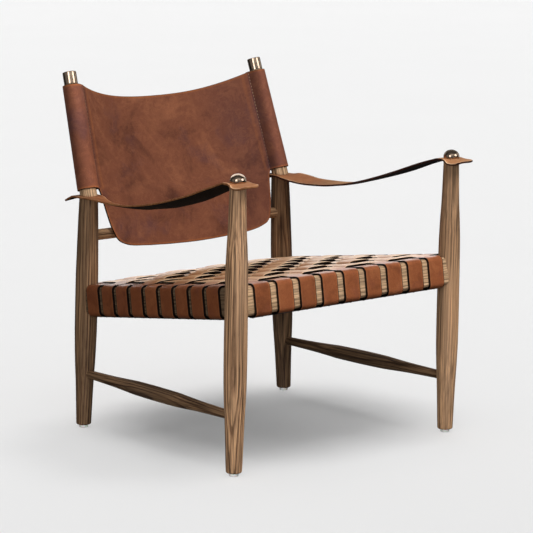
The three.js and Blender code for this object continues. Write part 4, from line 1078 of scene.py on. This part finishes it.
def make_sling():
    verts, flats, faces = [], [], []

    def add(p, f):
        verts.append(p)
        flats.append(f)
        return len(verts) - 1
    # columns across the panel, closer together at the seams
    n_panel = 75
    q = np.linspace(-1, 1, n_panel)
    us = 0.62 * np.sin(q * math.pi / 2) + 0.38 * q
    us = np.sign(us) * (1 - (1 - np.abs(us)) ** 1.12)
    rows = 52
    ts = np.linspace(0, 1, rows)
    ts = 0.8 * ts + 0.2 * (0.5 - 0.5 * np.cos(ts * math.pi))
    panel = np.zeros((rows, n_panel), int)
    for r, t in enumerate(ts):
        # rows follow the bowed upper edge more and more towards the top
        z_side = SLEEVE_Z0 + (SLEEVE_TOP - SLEEVE_Z0) * t
        z = SLEEVE_Z0 + (np.minimum(sling_top(us * 245), SLEEVE_TOP) - SLEEVE_Z0) * t
        z = np.where(np.abs(us) > 0.999, z_side, z)
        x = us * seam_x(z)
        pts = sling_point(x, z, panel_depth(x, z))
        for k in range(n_panel):
            panel[r, k] = add(pts[k], (x[k], z[k], 0))
    for r in range(rows - 1):
        for k in range(n_panel - 1):
            faces.append((panel[r, k], panel[r, k + 1], panel[r + 1, k + 1], panel[r + 1, k]))
    # sleeves: the hide runs on round the post and comes back to the seam behind the panel
    for side, edge in ((-1, 0), (1, n_panel - 1)):
        cols = 0
        prev = [panel[r, edge] for r in range(rows)]
        table = []
        for r, t in enumerate(ts):
            z_side = SLEEVE_Z0 + (SLEEVE_TOP - SLEEVE_Z0) * t
            s = (z_side - 522.1) / math.cos(LEAN)
            rm = float(post_radius(s)) + 0.3 + 2.0
            front = np.array((SEAM, -2.1 + 0.75))
            dist = float(np.linalg.norm((SEAM, 2.1)))
            ang_s = math.atan2(2.1, SEAM)
            ang_t = ang_s + math.acos(min(1, rm / dist))
            tan_p = np.array((rm * math.cos(ang_t), -rm * math.sin(ang_t)))
            row = []
            for w in (0.07, 0.16, 0.27, 0.4, 0.55, 0.7, 0.86):
                row.append(front * (1 - w) + tan_p * w + np.array((0, -0.5 * math.sin(math.pi * w))))
            for a in np.linspace(ang_t, 2 * math.pi - ang_t, 44):
                row.append(np.array((rm * math.cos(a), -rm * math.sin(a))))
            back = np.array((SEAM, 2.15))
            tan_b = tan_p * np.array((1, -1))
            for w in (0.2, 0.42, 0.64, 0.84, 1.0):
                row.append(tan_b * (1 - w) + back * w)
            for extra in (2.5, 5, 7.5, 10.5):
                i_in = SEAM + extra
                xx = post_x(z_side) - i_in
                row.append(np.array((i_in, float(panel_depth(np.array([xx]), np.array([z_side]))[0]) + 4.2)))
            table.append((z_side, row))
        for c in range(len(table[0][1])):
            cur = []
            for r in range(rows):
                z_side, row = table[r]
                i_in, nn = row[c]
                zz = z_side - 0.0438 * (i_in - SEAM)
                if c >= len(row) - 4:
                    zz = min(zz, SLEEVE_Z0 + (float(sling_top(post_x(z_side) - i_in)) - 2.5 - SLEEVE_Z0) * ts[r])
                p = sling_point(side * (post_x(z_side) - i_in), zz, nn)
                cur.append(add(p, (side * (250 + 3.2 * (c + 1)), z_side, 0)))
            for r in range(rows - 1):
                f = (prev[r], cur[r], cur[r + 1], prev[r + 1])
                faces.append(f if side > 0 else f[::-1])
            prev = cur
    # tail: a free flap with rounded corners, the right one rounder
    shares = (us + 1) / 2
    xe = float(us[-1] * seam_x(SLEEVE_Z0))
    bottom = along_curve([(-218.7, 428), (-213.5, 420.6), (-205.5, 415.0), (-195, 410.6), (-185, 407.8), (-168, 405.3), (-146, 403.7), (-124, 402.0), (-101, 401.0),
                          (-79, 399.8), (-56, 399.0), (-33, 398.4), (0, 397.9), (37, 398.4), (60, 399.1), (84, 400.2), (120, 402.0), (149, 403.6), (163, 405.2),
                          (183, 408.3), (197, 411.7), (208, 415.2), (216.7, 418.9), (221.4, 422.9), (225.5, 427.1)], shares)
    n_tail = 26
    vs = np.linspace(0, 1, n_tail)
    left = along_curve([(-218.7, 428), (-222.4, 437), (-228.4, 454.5), (-234.8, 480), (-241.8, 508), (-xe, SLEEVE_Z0)], vs)
    right = along_curve([(225.5, 427.1), (231, 437.5), (236, 453), (239.5, 472), (241.5, 500), (244, 522), (xe, SLEEVE_Z0)], vs)
    top = np.stack([us * seam_x(SLEEVE_Z0), np.full(n_panel, SLEEVE_Z0)], -1)
    below = panel[0]
    u01 = shares[:, None]
    for r in range(n_tail - 2, -1, -1):
        v = vs[r]
        line = ((1 - v) * bottom + v * top + (1 - u01) * left[r] + u01 * right[r]
                - ((1 - u01) * (1 - v) * bottom[0] + u01 * (1 - v) * bottom[-1] + (1 - u01) * v * top[0] + u01 * v * top[-1]))
        x, z = line[:, 0], line[:, 1]
        pts = sling_point(x, z, panel_depth(x, z))
        cur = np.array([add(pts[k], (x[k], z[k], 0)) for k in range(n_panel)])
        for k in range(n_panel - 1):
            faces.append((cur[k], cur[k + 1], below[k + 1], below[k]))
        below = cur
    return np.array(verts), [tuple(int(i) for i in f) for f in faces], np.array(flats)


verts, faces, flats = make_sling()
# the seam lies in a crease, and the hide beside it is drawn darker there as painted shade
crease = np.where(verts[:, 0] > 0, 0.72, 0.50) * np.exp(-((np.abs(verts[:, 0]) - seam_x(verts[:, 2])) / 3.2) ** 2) * (verts[:, 2] > SLEEVE_Z0 - 2)
# and painted shade darkens the hide in a plum tone towards its right side; a plum band half way up the left sleeve is
# drawn darker too
crease = np.maximum(crease, 0.22 * smooth((verts[:, 0] - 70) / 150) + 0.17 * np.exp(-((verts[:, 0] - 183) / 40) ** 2 - ((verts[:, 2] - 655) / 46) ** 2))
crease = np.maximum(crease, 0.22 * np.exp(-((verts[:, 2] - 685) / 48) ** 2) * (verts[:, 0] < -seam_x(verts[:, 2])))
# painted light and shade on the sleeves: the hide is drawn paler where the sleeves round the posts, a painted
# highlight, and darker in the fold beside the right seam, painted shade
turn = (np.abs(flats[:, 0]) - 250) / 3.2
sleeve_highlight_left = smooth((turn - 1) / 4) * (1 - smooth((turn - 15) / 13)) * (0.44 + 0.20 * smooth((verts[:, 2] - 640) / 60))
sleeve_highlight_and_shade_right = 0.42 * smooth((turn - 7) / 6) * (1 - smooth((turn - 24) / 12)) - 0.42 * smooth(turn / 1.5) * (1 - smooth((turn - 4) / 5))
sleeve_light_and_shade = np.where(verts[:, 0] < 0, sleeve_highlight_left, sleeve_highlight_and_shade_right)
sling = sheet_solid("back_sling.leather", verts, faces, flats, [SLING, EDGE, SLING_BACK], 1.0, bevel=0.95, deep=crease, lift=sleeve_light_and_shade)
finish_piece(sling, "frame", ["back_sling"])


# stitching along both seams, front and back
def make_stitches():
    verts, faces = [], []
    pitch, length, r = 7.4, 5.6, 0.62

    def one(a, b, out):
        a, b = np.asarray(a), np.asarray(b)
        d = unit(b - a)
        e1 = unit(out - d * float(out @ d))
        e2 = np.cross(d, e1)
        rings = []
        for t in np.linspace(0, 1, 9):
            lift = 0.75 * math.sin(math.pi * t) ** 0.6 - 0.55
            rad = r * (0.45 + 0.55 * math.sin(math.pi * min(1, max(0, t))) ** 0.5)
            c = a + (b - a) * t + e1 * lift
            rings.append([c + rad * (e1 * math.cos(q) * 0.85 + e2 * math.sin(q)) for q in np.linspace(0, 2 * math.pi, 10, endpoint=False)])
        v, f = rings_mesh([np.array(x) for x in rings])
        o = len(verts)
        verts.extend(list(v))
        faces.extend([tuple(i + o for i in g) for g in f])
    back_n = np.array((0, math.cos(LEAN), -math.sin(LEAN)))
    for side in (-1, 1):
        z = SLEEVE_Z0 + 4
        while z + length < SLEEVE_TOP - 3:
            za, zb = z, z + length
            for which in (0, 1):
                ends = []
                for zz in (za, zb):
                    x = float(seam_x(zz))
                    d0 = float(panel_depth(np.array([x]), np.array([zz]))[0])
                    ends.append(sling_point(side * x, zz, d0 - 2.0 if which == 0 else 2.15 + 2.0))
                one(ends[0], ends[1], -back_n if which == 0 else back_n)
            z += pitch * math.cos(LEAN)
    return np.array(verts), faces


verts, faces = make_stitches()
stitches = piece("sling_stitching.thread", at(verts), faces, [THREAD], "frame")


# ------------------------------------------------ CAD parts that stay as they are
for node, o in frame["nodes"].items():
    if o.hide_render:
        continue
    mat = None
    if node.endswith("_knob_insert"):
        mat = BRASS
    if node.endswith("_glide_nail"):
        mat = STEEL
    if mat is None:
        mat = STEEL
    o.data.materials.clear()
    o.data.materials.append(mat)


# ------------------------------------------------------------ floor and lights
def make_stage():
    me = bpy.data.meshes.new("floor")
    n, rad = 96, 40.0
    vs = [(0, 0, 0)] + [(r * math.cos(2 * math.pi * k / n), r * math.sin(2 * math.pi * k / n), 0) for r in (2.0, 6.0, 15.0, rad) for k in range(n)]
    fs = [(0, 1 + k, 1 + (k + 1) % n) for k in range(n)]
    for j in range(3):
        fs += [(1 + j * n + k, 1 + (j + 1) * n + k, 1 + (j + 1) * n + (k + 1) % n, 1 + j * n + (k + 1) % n) for k in range(n)]
    me.from_pydata(vs, [], fs)
    s = Shader("studio_floor")
    pos = s.place()
    # painted light: the floor's tone grows paler with distance behind the chair
    back = s.vmath("DOT_PRODUCT", pos, (0.65, 0.76, 0))
    shade = s.ramp(s.span(back, -1.5, 14.5), *[((d + 1.5) / 16.0, v) for d, v in FLOOR_PAINTED_LIGHT])
    g = s.noise(pos, 1.3, 3.0, 0.5)
    s.set(Base_Color=s.value(shade, s.span(g, 0.3, 0.7, 0.996, 1.004)), Roughness=0.95, Specular_IOR_Level=0.0)
    me.materials.append(s.m)
    floor = bpy.data.objects.new("floor", me)
    scene.collection.objects.link(floor)
    floor.visible_diffuse = False
    floor.visible_glossy = False

    w = bpy.data.worlds.new("studio")
    scene.world = w
    w.use_nodes = True
    t = w.node_tree
    t.nodes.clear()
    out = t.nodes.new("ShaderNodeOutputWorld")
    bg = t.nodes.new("ShaderNodeBackground")
    co = t.nodes.new("ShaderNodeTexCoord")

    def node(kind, op, *ins):
        n = t.nodes.new(kind)
        n.operation = op
        for i, v in enumerate(ins):
            if isinstance(v, bpy.types.NodeSocket):
                t.links.new(v, n.inputs[i])
            else:
                n.inputs[i].default_value = v
        return n.outputs["Value"]
    total = None
    for direction, edge0, edge1, level in WORLD:
        d = node("ShaderNodeVectorMath", "DOT_PRODUCT", co.outputs["Generated"], tuple(unit(direction)))
        m = t.nodes.new("ShaderNodeMapRange")
        m.interpolation_type = "SMOOTHSTEP"
        for i, v in enumerate((d, edge0, edge1, 0.0, level)):
            if isinstance(v, bpy.types.NodeSocket):
                t.links.new(v, m.inputs[i])
            else:
                m.inputs[i].default_value = v
        total = m.outputs[0] if total is None else node("ShaderNodeMath", "ADD", total, m.outputs[0])
    t.links.new(total, bg.inputs[0])
    t.links.new(bg.outputs[0], out.inputs[0])

    def lit(linked):
        c = bpy.data.collections.new("lit")
        if linked in ("floor", "chair", "front"):
            c.objects.link(floor)
            if linked == "front":
                for n in REAR_WOOD:
                    c.objects.link(bpy.data.objects[n])
            if linked != "floor":
                for i in range(len(c.objects)):
                    c.collection_objects[i].light_linking.link_state = "EXCLUDE"
        else:
            for n in linked:
                c.objects.link(bpy.data.objects[n])
        return c

    for name, kind, loc, target, size, power, linked, glossy in LIGHTS:
        d = bpy.data.lights.new(name, kind)
        if kind == "AREA":
            d.shape = "RECTANGLE"
            d.size, d.size_y = size
        else:
            d.angle = math.radians(size)
        d.energy = power
        o = bpy.data.objects.new(name, d)
        scene.collection.objects.link(o)
        o.location = loc
        o.rotation_mode = "QUATERNION"
        o.rotation_quaternion = (Vector(target) - Vector(loc)).to_track_quat("-Z", "Y")
        o.visible_glossy = glossy
        o.light_linking.receiver_collection = lit(linked)
        if name in FLOOR_SHADOW:
            o.light_linking.blocker_collection = lit(FLOOR_SHADOW[name])


# Floor tone by the distance behind the chair, in metres: painted light, the floor drawn paler towards the back.
FLOOR_PAINTED_LIGHT = [(-0.83, 0.807), (1.4, 0.852), (4.2, 0.874), (13.2, 0.912)]
# Direction, from cosine, to cosine, level: a dim room about the chair.
WORLD = [((0.646, 0.763, 0.0), 0.30, 0.85, 0.16), ((0, 0, 1), 0.2, 1.0, 0.06), ((-0.646, -0.763, 0.3), 0.0, 1.0, 0.13)]


def around(azimuth, elevation, distance, centre=(0, 0, 0.45)):
    a, e = math.radians(azimuth), math.radians(elevation)
    return tuple(c + distance * v for c, v in zip(centre, (math.cos(a) * math.cos(e), math.sin(a) * math.cos(e), math.sin(e))))


# Name, kind, place, target, size (degrees for a sun), power, what it lights, seen in reflections.
FRONT_LEGS = ("front_left_leg.wood", "front_right_leg.wood")
METAL = ("left_post_cap.metal", "right_post_cap.metal", "left_arm_knob.metal", "right_arm_knob.metal")
REAR_WOOD = ("rear_left_leg.wood", "rear_right_leg.wood", "left_stretcher.wood", "right_stretcher.wood", "back_rail.wood")
SHADED_SIDE = ("back_sling.leather", "sling_stitching.thread", "left_back_post.wood", "right_back_post.wood",
               "rear_seat_rail.wood", "right_seat_rail.wood") + FRONT_LEGS + REAR_WOOD
WOVEN = tuple(f"{k}_strap_{i}.leather" for k in ("warp", "weft") for i in range(1, 10))
GLIDES = tuple(f"{e}_{s}_glide.disc" for e in ("front", "rear") for s in ("left", "right"))
# What casts a shadow in the floor's own lights: the seat in the strong ones, nothing in the fill.
SEAT_MIDDLE = tuple(f"{k}_strap_{i}.leather" for k in ("warp", "weft") for i in range(2, 9))
FLOOR_SHADOW = {"floor_top": SEAT_MIDDLE, "floor_side": SEAT_MIDDLE, "floor_fill": "floor"}
LIGHTS = [
    ("floor_top", "SUN", (-0.5, -0.47, 3), (0, 0, 0), 38, 1.66, "floor", True),
    ("floor_side", "SUN", (1.60, -0.43, 2.2), (0, 0, 0), 20, 0.45, "floor", True),
    ("floor_sky", "SUN", (0, 0, 3), (0, 0, 0), 170, 0.10, "floor", True),
    ("floor_fill", "SUN", (0, 0, 3), (0, 0, 0), 60, 0.80, "floor", True),
    ("key_front_high", "AREA", (0.1, -1.478, 2.21), (0, 0, 0.45), (1.1, 1.1), 44, "front", False),
    ("key_rear", "AREA", (0.1, -1.478, 2.21), (0, 0, 0.45), (1.1, 1.1), 26, REAR_WOOD, False),
    ("fill_front", "AREA", (0.3, -2.22, 1.045), (0, 0, 0.45), (1.1, 1.1), 10, "front", False),
    ("camera_fill", "AREA", (-2.4, -2.8, 1.7), (0, 0, 0.45), (3.0, 3.0), 14, "front", False),
    ("camera_rear", "AREA", (-2.4, -2.8, 1.7), (0, 0, 0.45), (3.0, 3.0), 9, REAR_WOOD, False),
    ("side_left", "AREA", (-2.22, 0, 1.045), (0, 0, 0.45), (1.1, 1.1), 10, "front", False),
    ("leg_fill", "AREA", around(222, 6, 3.0), (0, 0, 0.3), (2.0, 1.4), 26, FRONT_LEGS, False),
    ("leg_fill_rear", "AREA", around(222, 6, 3.0), (0, 0, 0.3), (2.0, 1.4), 15, REAR_WOOD, False),
    ("leg_side", "AREA", around(335, 10, 2.4), (0, 0, 0.3), (1.1, 1.1), 10, FRONT_LEGS, False),
    ("glide_front", "AREA", around(226, 3, 2.6, (0, 0, 0.06)), (0, 0, 0.01), (2.4, 0.3), 34, GLIDES, True),
    ("glide_back", "AREA", around(60, 3, 2.6, (0, 0, 0.06)), (0, 0, 0.01), (2.4, 0.3), 18, GLIDES, True),
    ("seat_back", "AREA", around(52, 24, 3.2), (0, 0, 0.35), (4.0, 1.6), 128, WOVEN, True),
    ("shaded_side", "AREA", around(58, 10, 3.2), (0, 0, 0.45), (2.4, 2.0), 40, SHADED_SIDE, False),
    ("shaded_fill", "AREA", around(115, 4, 3.2), (0, 0, 0.45), (2.0, 1.6), 12, ("back_sling.leather", "sling_stitching.thread"), False),
    ("metal_left", "AREA", around(209, 17, 6.0, (0, 0, 0.7)), (0, 0, 0.7), (2.2, 3.2), 70, METAL, True),
    ("metal_front", "AREA", around(297, 24, 6.0, (0, 0, 0.7)), (0, 0, 0.7), (3.2, 3.0), 82, METAL, True),
    ("metal_right", "AREA", around(347, 12, 6.0, (0, 0, 0.7)), (0, 0, 0.7), (3.0, 4.0), 18, METAL, True),
    ("metal_camera", "AREA", around(240, 40, 6.0, (0, 0, 0.7)), (0, 0, 0.7), (5.0, 3.4), 23, METAL, True),
    ("metal_shade", "AREA", around(160, 12, 6.0, (0, 0, 0.7)), (0, 0, 0.7), (5.0, 4.0), 8, METAL, True),
    ("metal_between", "AREA", around(254, 10, 6.0, (0, 0, 0.7)), (0, 0, 0.7), (2.6, 3.4), 2.4, METAL, True),
    ("metal_back", "AREA", around(88, 14, 6.0, (0, 0, 0.7)), (0, 0, 0.7), (4.5, 3.5), 13, METAL, True),
    ("knob_back", "AREA", around(50, 34, 3.0, (-0.3, -0.3, 0.62)), (-0.3, -0.3, 0.62), (4.6, 2.6), 46, ("left_arm_knob.metal",), True),
]


make_stage()
scene.view_settings.view_transform = "Standard"
scene.view_settings.look = "None"
